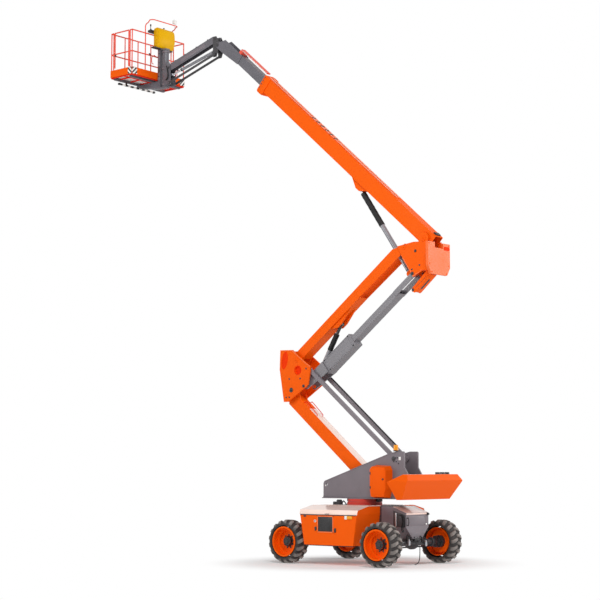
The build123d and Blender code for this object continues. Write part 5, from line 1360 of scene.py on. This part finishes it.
# ---------------- the two risers
@dataclass
class LowerArm(Assembly):
    """The lower riser's doublers, the parallel bars' hoses and the lower knuckle's edge, pins and hoses."""

    riser_y: float = 0.125
    riser_top: float = -0.055
    knuckle_y: float = 0.26
    opening: tuple[float, float] = (0.19, 0.44)

    def riser(self) -> None:
        """Adds doubler plates at the lower riser's ends, a thin pale strip on its top as a painted highlight, and the
        hose guides.
        """
        beam = self.layout.beam("riser_lift", "lower_knuckle_level")
        doublers, strip, guide, end = Shape(), Shape(), Shape(), beam.length
        doubler = [(0.62, -0.335), (1.1, -0.335), (1.25, -0.2), (1.1, -0.065), (0.62, -0.065)]
        for side in SIDES.values():
            for outline in (doubler, [(end - along, up) for along, up in doubler]):
                self.flank(doublers, beam, outline, side * self.riser_y, 0.002, 0.0008)
        doublers.piece("lower_riser_doublers", ORANGE, "lower_riser", "orange")
        # a thin plate in the pale lid colour: a painted highlight on the riser's upward face
        self.above(strip, beam, (1.56, self.riser_top), (1.98, 0.236), 0.01, 0.002, 0.0008)
        strip.piece("lower_riser_top_strip", HIGHLIGHT_LID, "lower_riser")
        top = self.riser_top
        run = [(0.85, top), (0.84, -0.03), (0.80, -0.02), (0.45, 0.0), (0.40, -0.01), (0.38, top)]
        for y in (-0.098, 0.098):
            guide.tube(smooth([beam.at(end - back, up, y) for back, up in run], 6), 0.009, 10)
        guide.piece("lower_riser_hose_guides", RED, "lower_riser")

    def bars(self) -> None:
        """Adds two hoses along the right-hand parallel bar."""
        hoses, beam = Shape(), self.layout.beam("riser_lift", "lower_knuckle_level", "lower_bars_swing")
        for y in (0.182, 0.205):
            hoses.tube(smooth(beam.at(np.array([0.35, 1.0, 1.6, 2.2, 2.75]), 0.056, y), 6), 0.009, 10)
        hoses.piece("bar_hoses", HOSE, "lower_bars")

    def knuckle(self) -> None:
        """Adds the lower knuckle's bent edge, drawn pale as a painted highlight, the collars and recesses of its
        openings, drawn darker red as painted shade, its bolts and pins.
        """
        pin = self.layout.pin("lower_knuckle_level")
        x0, z0 = pin[0] - self.layout.slew_x, pin[2]
        edge, rings, recess, bolts = Shape(), Shape(), Shape(), Shape()
        strip = [(-0.34, 0.45), (-0.32, 0.91), (0.03, 0.90), (0.13, 0.82), (0.42, 0.60), (0.56, 0.51)]
        strip += [(0.545, 0.50), (0.41, 0.582), (0.122, 0.802), (0.024, 0.88), (-0.302, 0.89), (-0.322, 0.452)]
        collar = [(0.085, 0.0), (0.085, 0.008), (0.100, 0.008), (0.106, 0.0)]
        bolted = [(0.435, 0.467), (0.353, 0.081), (0.134, 0.665), (-0.06, -0.16), (-0.15, -0.16), (0.26, 0.25)]
        bolted += [(-0.06, 0.25)]
        hole_x, hole_z = pin[0] + self.opening[0], z0 + self.opening[1]
        for side in SIDES.values():
            y = side * self.knuckle_y
            self.wall(edge, [(x0 + x, z0 + z) for x, z in strip], y, 0.010, 0.003)
            rings.lathe(collar, (hole_x, y, hole_z), (0, side, 0), 40, ring=True)
            for x, z in bolted:
                bolts.bolt((pin[0] + x, y, z0 + z), (0, side, 0), 0.011)
        # the edge strip is drawn paler and the collars darker red: a painted highlight and a painted shade
        edge.piece("lower_knuckle_edge", PALE_ORANGE, "lower_knuckle", "orange")
        rings.piece("lower_knuckle_collar", SHADE_RED, "lower_knuckle")
        # a leaning oval: both half axes swing with one turn
        turn = np.linspace(0, 2 * math.pi, 36, endpoint=False)
        oval_x = x0 - 0.195 + 0.092 * np.cos(turn) + 0.03 * np.sin(turn)
        oval = np.stack([oval_x, z0 + 0.675 + 0.20 * np.sin(turn)], axis=-1)
        # the oval and the disc in each hole are flat sheets drawn darker red: painted shade standing in for deep
        # openings
        for side in SIDES.values():
            self.wall(recess, oval, side * self.knuckle_y, 0.0015, 0.0005)
            low, high = sorted((side * 0.2285, side * 0.2265))
            recess.lathe([(0.084, low), (0.084, high)], (hole_x, 0, hole_z), ACROSS, 40)
        recess.piece("lower_knuckle_recesses", SHADE_RED, "lower_knuckle")
        bolts.piece("lower_knuckle_bolts", CHARCOAL, "lower_knuckle")
        pins = [(pin, self.knuckle_y, 0.052), (self.layout.pin("upper_link_swing"), self.knuckle_y, 0.034)]
        self.caps("lower_knuckle_pins", "lower_knuckle", pins, BLACK)
        pins = [(self.layout.pin("upper_riser_lift"), self.knuckle_y, 0.052)]
        self.caps("upper_riser_foot_pin", "lower_knuckle", pins, ORANGE)

    def lines(self) -> None:
        """Adds the hoses that loop inside the lower knuckle."""
        pin, hoses = self.layout.pin("lower_knuckle_level"), Shape()
        for y, bend in ((-0.215, -0.24), (-0.19, -0.23), (0.19, -0.22), (0.215, -0.21)):
            run = [(-0.27, 0.50), (-0.28, 0.70), (bend, 0.84), (-0.14, 0.86), (-0.08, 0.80), (-0.06, 0.70)]
            hoses.tube(smooth([(pin[0] + x, y, pin[2] + z) for x, z in run], 8), 0.010, 10)
        hoses.piece("lower_knuckle_hoses", HOSE, "lower_knuckle")

    def build(self) -> None:
        """Builds every piece of the lower arm."""
        self.riser()
        self.bars()
        self.knuckle()
        self.lines()


@dataclass
class UpperArm(Assembly):
    """The upper riser's plates, gussets and hoses, and the link's stiffeners."""

    riser_y: float = 0.152
    link_y: float = 0.13
    link_half: float = 0.142

    def riser(self) -> None:
        """Adds the upper riser's plates, gussets and its hose run with clamps."""
        beam = self.layout.beam("upper_riser_lift", "upper_knuckle_level")
        plates, gusset, hoses, clamps = Shape(), Shape(), Shape(), Shape()
        for side in SIDES.values():
            y = side * self.riser_y
            self.flank(plates, beam, self.box(0.62, 1.62, 0.03, 0.15, 0.01), y, 0.002, 0.0008)
            self.flank(plates, beam, [(2.10, -0.012), (2.25, -0.012), (2.25, 0.187), (2.10, 0.187)], y, 0.003, 0.001)
        plates.piece("upper_riser_plates", ORANGE, "upper_riser", "orange")
        outline = [(1.255, -0.118), (1.40, -0.118), (1.80, -0.021), (1.10, -0.021)]
        for side in SIDES.values():
            self.flank(gusset, beam, outline, side * 0.068, 0.042, 0.004)
            gusset.bolt(beam.at(1.327, -0.069, side * 0.11), (0, side, 0), 0.012)
        gusset.piece("upper_riser_gusset", ORANGE, "upper_riser", "orange")
        for up in (0.165, 0.183):
            hoses.tube(beam.at(np.linspace(0.4, 2.0, 5), up, self.riser_y + 0.0075), 0.0072, 10)
        hoses.piece("upper_riser_hoses", HOSE, "upper_riser")
        for start in (0.5, 0.9, 1.3, 1.7):
            self.flank(clamps, beam, self.box(start, start + 0.03, 0.154, 0.194, 0.003), self.riser_y, 0.0165, 0.002)
        clamps.piece("upper_riser_clamps", CHARCOAL, "upper_riser")

    def link(self) -> None:
        """Adds the stiffening ribs round the link's deep stretch."""
        ribs, beam = Shape(), self.layout.beam("upper_riser_lift", "upper_knuckle_level", "upper_link_swing")
        start, end, half = 0.72, 1.58, self.link_half
        for side in SIDES.values():
            for strip in (
                (start, end, half - 0.024, half),
                (start, end, -half, 0.024 - half),
                (start, start + 0.04, -half, half),
                (end - 0.04, end, -half, half),
            ):
                self.flank(ribs, beam, self.box(*strip, 0.004), side * self.link_y, 0.0028, 0.001)
        ribs.piece("link_ribs", STEEL_GREY, "upper_link", "grey")

    def build(self) -> None:
        """Builds every piece of the upper arm."""
        self.riser()
        self.link()


@dataclass
class UpperKnuckle(Assembly):
    """The upper knuckle's edge, pins and bolts, its hanging arms' plate and the cover's slot."""

    crown_y: float = 0.185
    arm_y: float = 0.11
    cover_back: float = 0.78

    def build(self) -> None:
        """Builds the edge strip, the bolts, the arms' black end pins, the cover's fittings and the caps."""
        pin, pivot = self.layout.pin("upper_knuckle_level"), self.layout.pin("main_lift")
        x0, z0 = pin[0] - self.layout.slew_x, pin[2]
        edge, bolts, frame, dark, slot = Shape(), Shape(), Shape(), Shape(), Shape()
        strip = [(0.46, -0.54), (0.23, -0.66), (-0.05, -0.23), (-0.03, -0.222), (0.238, -0.636), (0.463, -0.522)]
        brace = [(0.25, -0.87), (0.235, -0.89), (0.50, -0.69), (0.515, -0.67)]
        for side in SIDES.values():
            out = (0, side, 0)
            self.wall(edge, [(x0 + x, z0 + z) for x, z in strip], side * self.crown_y, 0.008)
            for x, z in ((0.40, -0.42), (0.63, -0.45), (0.63, -0.05), (0.20, -0.50), (0.02, 0.03), (0.66, -0.25)):
                bolts.bolt((pin[0] + x, side * self.crown_y, z0 + z), out, 0.011)
            dark.cap((pin[0] + 0.17, side * self.arm_y, z0 - 0.93), out, 0.032, 0.014)
            dark.cap((pin[0] + 0.60, side * self.arm_y, z0 - 0.575), out, 0.026, 0.012)
            self.wall(dark, [(x0 + x, z0 + z) for x, z in brace], side * self.arm_y, 0.002, 0.0008)
        # the edge strip is drawn pale: a painted highlight
        edge.piece("upper_knuckle_edge", PALE_ORANGE, "upper_knuckle", "orange")
        bolts.piece("upper_knuckle_bolts", CHARCOAL, "upper_knuckle")
        dark.piece("hanging_arm_pins", BLACK, "upper_knuckle")
        for y, z in ((-0.36, -0.43), (0.36, -0.43), (-0.27, -0.60), (0.27, -0.60), (-0.36, 0.0), (0.36, 0.0)):
            frame.bolt(self.at(x0 + self.cover_back, y, z0 + z), AFT, 0.009)
        frame.piece("knuckle_cover_bolts", ORANGE, "upper_knuckle", "orange")
        # the cover's slot is a flat plate drawn darker red: painted shade
        self.end(slot, self.box(0.17, 0.385, z0 - 0.105, z0 - 0.025, 0.035), x0 + self.cover_back, 0.003, 0.001)
        slot.piece("knuckle_cover_slot", SHADE_RED, "upper_knuckle")
        self.arms(pin)
        pins = [(pivot, self.crown_y, 0.062), (pin, self.crown_y, 0.05)]
        self.caps("main_pivot_caps", "upper_knuckle", pins, ORANGE)
        lower, middle = pin + (0.21, 0, -0.59), pin + (0.295, 0, -0.11)
        pins = [(lower, self.crown_y, 0.040), (middle, self.crown_y, 0.030)]
        self.caps("upper_knuckle_pins", "upper_knuckle", pins, BLACK)

    def arms(self, pin: np.ndarray) -> None:
        """Adds the slotted plate under the two hanging arms, its slot drawn as a black strip: painted shade.

        Args:
            pin: the upper riser's top pin.
        """
        run = Beam(tuple(pin + (0.205, 0, -0.99)), tuple(pin + (0.640, 0, -0.62)))
        plate, slot = Shape(), Shape()
        for shape, width, start, end, depth in ((plate, 0.22, 0.02, 0.56, 0.006), (slot, 0.06, 0.12, 0.42, 0.0075)):
            self.above(shape, run, ((start + end) / 2, 0.0), (end - start, width), 0.012, -depth, 0.001)
        plate.piece("hanging_arm_plate", ORANGE, "upper_knuckle", "orange")
        slot.piece("hanging_arm_slot", BLACK, "upper_knuckle")


# ---------------- hydraulic cylinders
@dataclass(frozen=True)
class Ram:
    """A hydraulic cylinder's sizes, its lengths counted from the foot pin."""

    radius: float
    end: float
    rod: float
    guard: tuple[float, float] | None = None


@dataclass
class Cylinders(Assembly):
    """Each cylinder's bands, feed pipe and rod guard; a guard runs from its start to a distance before the eye."""

    riser: Ram = Ram(0.052, 0.670, 0.036, (0.580, 0.250))
    lift: Ram = Ram(0.056, 1.440, 0.038, (1.350, 0.150))
    jib: Ram = Ram(0.038, 1.180, 0.024)

    def build(self) -> None:
        """Dresses the three cylinders along the lines between their pins."""
        for name, ram in (("riser", self.riser), ("lift", self.lift), ("jib", self.jib)):
            foot = self.layout.pin(f"{name}_cylinder_swing")
            along = self.layout.axis(f"{name}_cylinder_stroke")
            radius, end, fittings, pipe = ram.radius, ram.end, Shape(), Shape()
            low, high = radius - 0.001, radius + 0.0015
            band = [(low, 0.0), (high, 0.004), (high, 0.03), (low, 0.034)]
            fittings.lathe(band, foot + along * (radius * 1.9), along, 36, ring=True)
            if ram.guard is None:
                gland = [(low, 0.0), (radius + 0.007, 0.004), (radius + 0.007, 0.034)]
                gland += [(ram.rod + 0.004, 0.040), (ram.rod + 0.004, 0.034)]
                fittings.lathe(gland, foot + along * (end - 0.036), along, 36, ring=True)
            fittings.piece(f"{name}_barrel_bands", CHARCOAL, f"{name}_barrel")
            near, far = radius * 2.0, end * (0.9 if ram.guard is None else 0.42)
            gap = radius + 0.016
            run = [(near, radius), (near + 0.02, gap), ((near + far) / 2, gap), (far - 0.02, gap), (far, radius)]
            pipe.tube(smooth([foot + along * reach - np.array(ACROSS) * out for reach, out in run], 6), 0.007, 10)
            pipe.piece(f"{name}_feed_pipe", ZINC, f"{name}_barrel")
            if ram.guard:
                start, before_eye = ram.guard
                self.guard(name, foot, along, radius + 0.006, start, self.length(name, ram) - before_eye)

    def length(self, name: str, ram: Ram) -> float:
        """The distance between a cylinder's two pins, from the CAD rod's far end less its eye's radius."""
        low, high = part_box(f"{name}_rod")
        along = self.layout.axis(f"{name}_cylinder_stroke")
        far = np.where(along > 0, high, low) - self.layout.pin(f"{name}_cylinder_swing")
        eye = ram.rod * 1.3
        return math.hypot(far[0] - math.copysign(eye, along[0]), far[2] - eye)

    def guard(
        self, name: str, foot: np.ndarray, along: np.ndarray, radius: float, start: float, end: float
    ) -> None:
        """Covers the rod's guard tube with black rubber that has raised bands.

        Each band's height is the root of the positive half of a sine of the distance along the rod.

        Args:
            name: the cylinder's name.
            foot: its foot pin.
            along: its direction.
            radius: of the tube underneath.
            start: where the tube starts, from the foot pin.
            end: where it ends.
        """
        sleeve, pitch, inner = Shape(), 0.16, radius + 0.0002
        levels = np.linspace(start, end, 56)
        swell = 0.0018 + 0.0022 * np.clip(np.sin((levels - start) * 2 * math.pi / pitch), 0, 1) ** 0.5
        profile = [(inner, start), *zip(radius + swell, levels)]
        profile += [(radius * 0.72, end + 0.004), (radius * 0.72, end + 0.001), (inner, end)]
        sleeve.lathe(profile, foot, along, 36, ring=True)
        sleeve.piece(f"{name}_rod_guard", GUARD, f"{name}_rod", "rubber")


# ---------------- telescoping boom
@dataclass
class Booms(Assembly):
    """The main boom's collar, heel block and cable run, the fly head's caps and the power track's links."""

    main_y: float = 0.135
    main_low: float = -0.127
    main_high: float = 0.208
    main_end: float = 6.2
    cable_start: float = 1.25
    fly_y: float = 0.112
    fly_nose: float = 7.2
    track_y: float = 0.06
    link_pitch: float = 0.052

    def spine(self) -> Beam:
        """The boom's line, from its pivot along the way that it telescopes."""
        foot = self.layout.pin("main_lift")
        return Beam(tuple(foot), tuple(foot + self.layout.axis("telescope") * 8.0))

    def main(self) -> None:
        """Adds the collar with its bolts, the heel block, and the cable run on top with its clamps."""
        beam, end, top = self.spine(), self.main_end, self.main_high + 0.0005
        bolts, collar, heel, cable, clamps = Shape(), Shape(), Shape(), Shape(), Shape()
        for side in SIDES.values():
            for up in (-0.09, 0.0, 0.09, 0.17):
                bolts.bolt(beam.at(end - 0.04, up, side * (self.main_y + 0.023)), (0, side, 0), 0.008)
            outline = self.box(end - 0.215, end - 0.004, -0.212, 0.224, 0.05)
            self.flank(collar, beam, outline, side * (self.main_y + 0.001), 0.022, 0.008)
        bolts.piece("boom_collar_bolts", CHARCOAL, "main_boom")
        for up, depth in ((self.main_low - 0.082, 0.070), (top, 0.010)):
            self.above(collar, beam, (end - 0.11, up), (0.19, 0.29), 0.01, depth, 0.004)
        collar.piece("boom_collar", ORANGE, "main_boom", "orange")
        self.above(heel, beam, (-0.118, top), (0.09, 0.16), 0.006, 0.030, 0.004)
        heel.piece("boom_heel_block", BLACK, "main_boom")
        for y in (-0.05, 0.05):
            path = beam.at(np.linspace(self.cable_start, end - 0.08, 6), self.main_high + 0.0135, y)
            cable.tube(path, 0.0055, 10)
        cable.piece("boom_cable_run", HIGHLIGHT_LID, "main_boom")
        for start in np.arange(3.55, 4.45, 0.17):
            self.above(clamps, beam, (start, self.main_high + 0.008), (0.03, 0.13), 0.004, 0.0125, 0.002)
        clamps.piece("boom_cable_clamps", BLACK, "main_boom")

    def fly(self) -> None:
        """Adds the power track's links and the fly head's pin caps."""
        beam, links, start = self.spine(), Shape(), self.main_end + 0.07
        low, high = self.main_high + 0.023, self.main_high + 0.040
        for step in range(int((self.fly_nose + 0.12 - start) / self.link_pitch)):
            near = start + step * self.link_pitch
            outline = self.box(near, near + self.link_pitch * 0.8, low, high, 0.005)
            for side in SIDES.values():
                self.flank(links, beam, outline, side * self.track_y, 0.003, 0.001)
        links.piece("track_links", WHITE, "fly_boom")
        self.caps("fly_head_pins", "fly_boom", [(self.layout.pin("jib_level"), self.fly_y, 0.05)], CHARCOAL)

    def build(self) -> None:
        """Builds every piece of the boom."""
        self.main()
        self.fly()


# ---------------- jib
@dataclass
class Jib(Assembly):
    """The jib's pin caps, its side plates, and the hoses along its back with their clamps."""

    cheek_y: float = 0.095
    beam_y: float = 0.075
    beam_top: float = 0.085

    def build(self) -> None:
        """Builds the caps, the side plates, the hoses and the clamps."""
        beam = self.layout.beam("jib_lift", "platform_level")
        for name, body, pin in (("foot", "jib_base", beam.foot), ("head", "platform_mount", beam.head)):
            self.caps(f"jib_{name}_caps", body, [(pin, self.cheek_y, 0.032)], CHARCOAL)
        plates, hoses, clamps = Shape(), Shape(), Shape()
        for side in SIDES.values():
            self.flank(plates, beam, self.box(0.35, 1.2, -0.04, 0.05, 0.01), side * self.beam_y, 0.002, 0.0008)
        plates.piece("jib_side_plates", GREY, "jib_beam", "grey")
        for y in (-0.045, -0.015, 0.015, 0.045):
            hoses.tube(beam.at(np.linspace(0.12, beam.length - 0.12, 7), self.beam_top + 0.010, y), 0.0095, 10)
        hoses.piece("jib_hoses", HOSE, "jib_beam")
        for start in (0.25, 0.65, 1.05, 1.4):
            self.above(clamps, beam, (start, self.beam_top), (0.03, 0.13), 0.004, 0.024, 0.003)
        clamps.piece("jib_hose_clamps", CHARCOAL, "jib_beam")


# ---------------- platform
@dataclass
class Platform(Assembly):
    """The mesh floor, the toe boards' tape, the console, the hoop, the rotator's flanges and the rail's fittings."""

    floor_top: float = 11.663
    floor_thick: float = 0.025
    rear: float = -6.446
    front: float = -7.206
    half: float = 0.915
    rail_top: float = 12.763
    mesh_pitch: float = 0.03
    toe: float = 0.15
    support_y: float = 0.07
    hoop_top: float = 13.05
    hoop_half: float = 0.455

    def floor(self) -> None:
        """Replaces the floor sheet with a flat frame and an open grid of bars."""
        low, high, at, half = self.floor_top - self.floor_thick, self.floor_top, self.at, self.half
        front, rear, wide = self.front, self.rear, 0.04
        made, grid = Shape(), Shape()
        for x0, x1, y0, y1 in (
            (front, front + wide, -half, half),
            (rear - wide, rear, -half, half),
            (front + wide, rear - wide, -half, -half + wide),
            (front + wide, rear - wide, half - wide, half),
            (front + 0.36, front + 0.40, -half + wide, half - wide),
        ):
            made.block(at(x0, y0, low), at(x1, y1, high), 0.002)
        below = low - 0.018
        for y in (-half + 0.012, half - 0.012):
            made.tube(np.array([at(front + 0.02, y, below), at(rear - 0.02, y, below)]), 0.013, 12)
        for x in (front + 0.012, rear - 0.012):
            made.tube(np.array([at(x, -half + 0.02, below), at(x, half - 0.02, below)]), 0.013, 12)
        for y in np.linspace(-0.7, 0.7, 5):
            made.block(at(front + 0.125, y - 0.012, low - 0.030), at(rear - 0.155, y + 0.012, low), 0.002)
        made.piece("floor_frame", RED, "platform", "rail")
        for y in np.arange(-half + 0.05, half - 0.04, self.mesh_pitch):
            self.bar(grid, at(front + 0.02, y, high - 0.012), at(rear - 0.02, y + 0.006, high))
        for x in np.arange(front + 0.05, rear - 0.04, self.mesh_pitch):
            self.bar(grid, at(x, -half + 0.02, high - 0.010), at(x + 0.005, half - 0.02, high - 0.002))
        item = grid.piece("floor_mesh", WHITE, "platform", "rail")
        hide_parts("platform_floor")

    @staticmethod
    def bar(shape: Shape, low: np.ndarray, high: np.ndarray) -> None:
        """Adds one bar of a grid, with square edges."""
        size, middle = high - low, (low + high) / 2
        outline = np.array([(-1, -1), (1, -1), (1, 1), (-1, 1)]) * size[:2] / 2
        shape.plate(outline, (middle[0], middle[1], 0.0), AFT, ACROSS, low[2], high[2], 0.0)

    def tape(self) -> None:
        """Adds striped tape at the boards' corners and the dashed bumper below the floor."""
        at, tape, bumper, ends = self.at, Shape(), Shape(), Shape()
        z0, z1 = self.floor_top - self.floor_thick + 0.006, self.floor_top + self.toe - 0.006
        for side in SIDES.values():
            outline = self.box(self.rear - 0.14, self.rear - 0.005, z0, z1, 0.004)
            self.wall(tape, outline, side * (self.half + 0.004), 0.001, 0.0003)
            y0, y1 = sorted((side * (self.half - 0.17), side * (self.half - 0.004)))
            self.end(tape, self.box(y0, y1, z0, z1, 0.004), self.rear + 0.004, 0.001, 0.0003)
        tape.piece("corner_tape", HAZARD, "platform")
        bumper.block(at(-7.08, -0.73, 11.475), at(-7.03, 0.41, 11.515), 0.006)
        bumper.piece("bumper_bar", DASHES, "platform")
        for y in (-0.755, 0.435):
            ends.block(at(-7.085, y - 0.03, 11.47), at(-7.025, y + 0.03, 11.52), 0.008)
        for y in (-0.52, 0.20):
            ends.block(at(-7.07, y - 0.02, 11.51), at(-7.04, y + 0.02, 11.58), 0.004)
        ends.piece("bumper_ends", BLACK, "platform")

    def console(self) -> None:
        """Replaces the console with a curved yellow cover over a black panel with two sticks and a stop button."""
        cover, panel, stop = Shape(), Shape(), Shape()

        def place(out: float, y: float, up: float) -> np.ndarray:
            """A point counted outwards from the rear rail and up from the floor."""
            return self.at(self.rear + out, y, self.floor_top + up)

        corners = [(0.022, 0.80), (0.022, 1.19), (0.08, 1.25), (0.16, 1.245), (0.215, 1.18)]
        corners += [(0.232, 1.05), (0.232, 0.94), (0.20, 0.82), (0.15, 0.748), (0.07, 0.748)]
        outline = [(self.rear + x, self.floor_top + z) for x, z in smooth(corners, 5)]
        # the outline's normal looks to the left, so these two ends are at 0.345 to the right and 0.215 to the left
        cover.plate(np.array(outline), self.at(0, 0, 0), AFT, UP, -0.345, 0.215, 0.03)
        cover.block(place(-0.002, -0.17, 0.90), place(0.03, 0.32, 1.0), 0.004)
        item = cover.piece("console_cover", YELLOW, "platform", "dark")
        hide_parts("console")
        panel.block(place(-0.10, -0.30, 1.14), place(0.024, 0.39, 1.20), 0.01)
        stick = [(0.036, 0.0), (0.030, 0.010), (0.031, 0.018), (0.020, 0.030), (0.009, 0.045)]
        stick += [(0.009, 0.10), (0.017, 0.11), (0.018, 0.15), (0.008, 0.158)]
        for y in (-0.24, 0.22):
            panel.lathe(stick, place(-0.05, y, 1.20), UP, 20)
        for y in np.arange(-0.12, 0.13, 0.05):
            panel.block(place(-0.06, y, 1.20), place(-0.035, y + 0.014, 1.222), 0.003)
        panel.block(place(0.03, -0.30, 0.722), place(0.15, 0.34, 0.755), 0.008)
        panel.piece("console_panel", BLACK, "platform")
        button = [(0.012, 0.0), (0.012, 0.02), (0.024, 0.022), (0.024, 0.034), (0.014, 0.04)]
        stop.lathe(button, place(-0.05, 0.30, 1.20), UP, 24)
        stop.piece("console_stop_button", RED, "platform")

    def hoop(self) -> None:
        """Replaces the bars over the console with one hoop that reaches out above it, and adds a work lamp.

        The hoop's bends are quarter circles: their middle plus the bend's radius times cosine and sine.
        """
        made, lamp, glass, at = Shape(), Shape(), Shape(), self.at
        x, reach, top, half, bend, knee = self.rear - 0.016, 0.25, self.hoop_top, self.hoop_half, 0.09, 12.90
        turn = np.linspace(0.0, math.pi / 2, 6)
        left = [(x, -half, self.rail_top), (x, -half, knee)]
        left += [(x + bend - bend * math.cos(t), -half, knee + bend * math.sin(t)) for t in turn]
        left += [(x + reach - bend + bend * math.sin(t), -half + bend - bend * math.cos(t), top) for t in turn]
        whole = left + [(a, -b, c) for a, b, c in reversed(left)]
        made.tube(np.array([at(*place) for place in whole]), 0.013, 16)
        item = made.piece("console_hoop", RAIL_RED, "platform", "rail")
        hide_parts("safety_bar")
        lamp.lathe([(0.009, 0.0), (0.009, 0.10)], at(x + 0.13, half - 0.02, top - 0.012), UP, 12)
        lamp.block(at(x + 0.09, half - 0.065, top + 0.088), at(x + 0.17, half + 0.025, top + 0.186), 0.010)
        lamp.piece("work_lamp", WHITE, "platform")
        face = at(x + 0.09, half - 0.02, top + 0.137)
        glass.plate(rounded(0.066, 0.074, 0.01), face, (0, -1, 0), UP, 0.0, 0.004)
        glass.piece("work_lamp_glass", LENS, "platform")

    def rotator(self) -> None:
        """Adds the rotary actuator's flanges with their bolts, and the hoses from the jib."""
        at, rings, hoses = self.at, Shape(), Shape()
        x = self.layout.pin("platform_turn")[0] - self.layout.slew_x
        for z in (11.46, 11.86, 12.28):
            rings.lathe([(0.080, 0.0), (0.098, 0.004), (0.098, 0.030), (0.080, 0.034)], at(x, 0, z), UP, 40)
            for dx, dy in circle(0.089, 12):
                rings.bolt(at(x + dx, dy, z + 0.034), UP, 0.005)
        rings.piece("rotator_flanges", GREY, "platform_mount", "grey")
        for y, z in ((-0.105, 11.62), (-0.125, 11.64), (0.105, 11.66), (0.125, 11.68)):
            run = [(0.10, y * 0.6, 11.60), (0.13, y, 11.56), (0.19, y, z)]
            run += [(0.17, y * 0.95, 11.80), (0.12, y * 0.8, 11.92)]
            self.hose(hoses, [(x + out, aside, up) for out, aside, up in run], 0.009)
        hoses.piece("rotator_hoses", HOSE, "platform_mount")

    def support(self) -> None:
        """Adds the side plates and the bolts of the post that carries the platform."""
        seams, post, low_x = Shape(), Shape(), self.rear + 0.055
        for side in SIDES.values():
            y = side * (self.support_y + 0.003)
            self.wall(post, self.box(low_x, low_x + 0.06, 11.62, 12.33, 0.008), side * self.support_y, 0.003, 0.001)
            for z in (11.70, 12.05, 12.28):
                seams.bolt(self.at(low_x + 0.03, y, z), (0, side, 0), 0.009)
            self.wall(seams, self.box(low_x + 0.007, low_x + 0.053, 11.80, 11.96, 0.006), y, 0.002, 0.0008)
        post.piece("support_side_plates", GREY, "platform")
        seams.piece("support_fittings", BLACK, "platform")

    def fittings(self) -> None:
        """Adds the rail's clamps, a socket box, the cable loops and the gate's latch."""
        at, rear, dark, loops, latch = self.at, self.rear, Shape(), Shape(), Shape()
        for y in (-0.3, 0.3):
            dark.block(at(rear - 0.035, y - 0.02, 12.20), at(rear + 0.003, y + 0.02, 12.26), 0.004)
        dark.block(at(rear - 0.06, 0.60, 12.02), at(rear - 0.03, 0.74, 12.20), 0.008)
        dark.piece("rail_clamps", BLACK, "platform")
        for y, low, rise in ((0.66, 11.72, 11.89), (0.70, 11.66, 11.878)):
            run = [(-0.045, y, 12.02), (-0.04, y * 0.93, low), (-0.03, 0.30, rise), (0.03, 0.08, 12.06)]
            self.hose(loops, [(rear + out, aside, z) for out, aside, z in run], 0.008)
        run = [(-0.14, 12.06), (-0.19, 12.10), (-0.19, 12.24), (-0.10, 12.27), (-0.03, 12.20)]
        self.hose(loops, [(rear + out, -0.05, z) for out, z in run], 0.009)
        loops.piece("platform_cables", RED, "platform")
        low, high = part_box("gate")
        latch.block((low[0], low[1] + 0.002, 12.15), (low[0] + 0.05, high[1] - 0.002, 12.22), 0.005)
        latch.piece("gate_latch", BLACK, "gate")

    def build(self) -> None:
        """Builds every piece of the platform."""
        self.floor()
        self.tape()
        self.console()
        self.hoop()
        self.rotator()
        self.support()
        self.fittings()


# ---------------- the whole machine
def dress_nodes(frame: dict) -> None:
    """Gives every CAD node its finish.
    """
    slots = {part["node"]: part["material_slot"] for part in frame["record"]["subparts"]}
    for name, item in frame["nodes"].items():
        finish = NODE_FINISHES.get(name) or SLOT_FINISHES[slots[name]]
        for holder in item.material_slots:
            holder.material = finish.material()
        if not item.material_slots:
            item.data.materials.append(finish.material())


def main() -> None:
    """Builds the studio, then the machine from the ground up."""
    logging.basicConfig(level=logging.INFO, format="%(name)s: %(message)s")
    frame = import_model()
    layout = Layout({joint["name"]: joint for joint in frame["joints"]})
    Studio(layout.slew_x).build()
    EarthStrap().build()
    dress_nodes(frame)
    for name in ("front_left", "front_right", "rear_left", "rear_right"):
        Wheel(name, layout.pin(f"wheel_{name}_spin"), 1.0 if name.endswith("right") else -1.0).build()
    for assembly in (Chassis, Turntable, LowerArm, UpperArm, UpperKnuckle, Cylinders, Booms, Jib, Platform):
        assembly(layout).build()


if __name__ == "__main__":
    main()
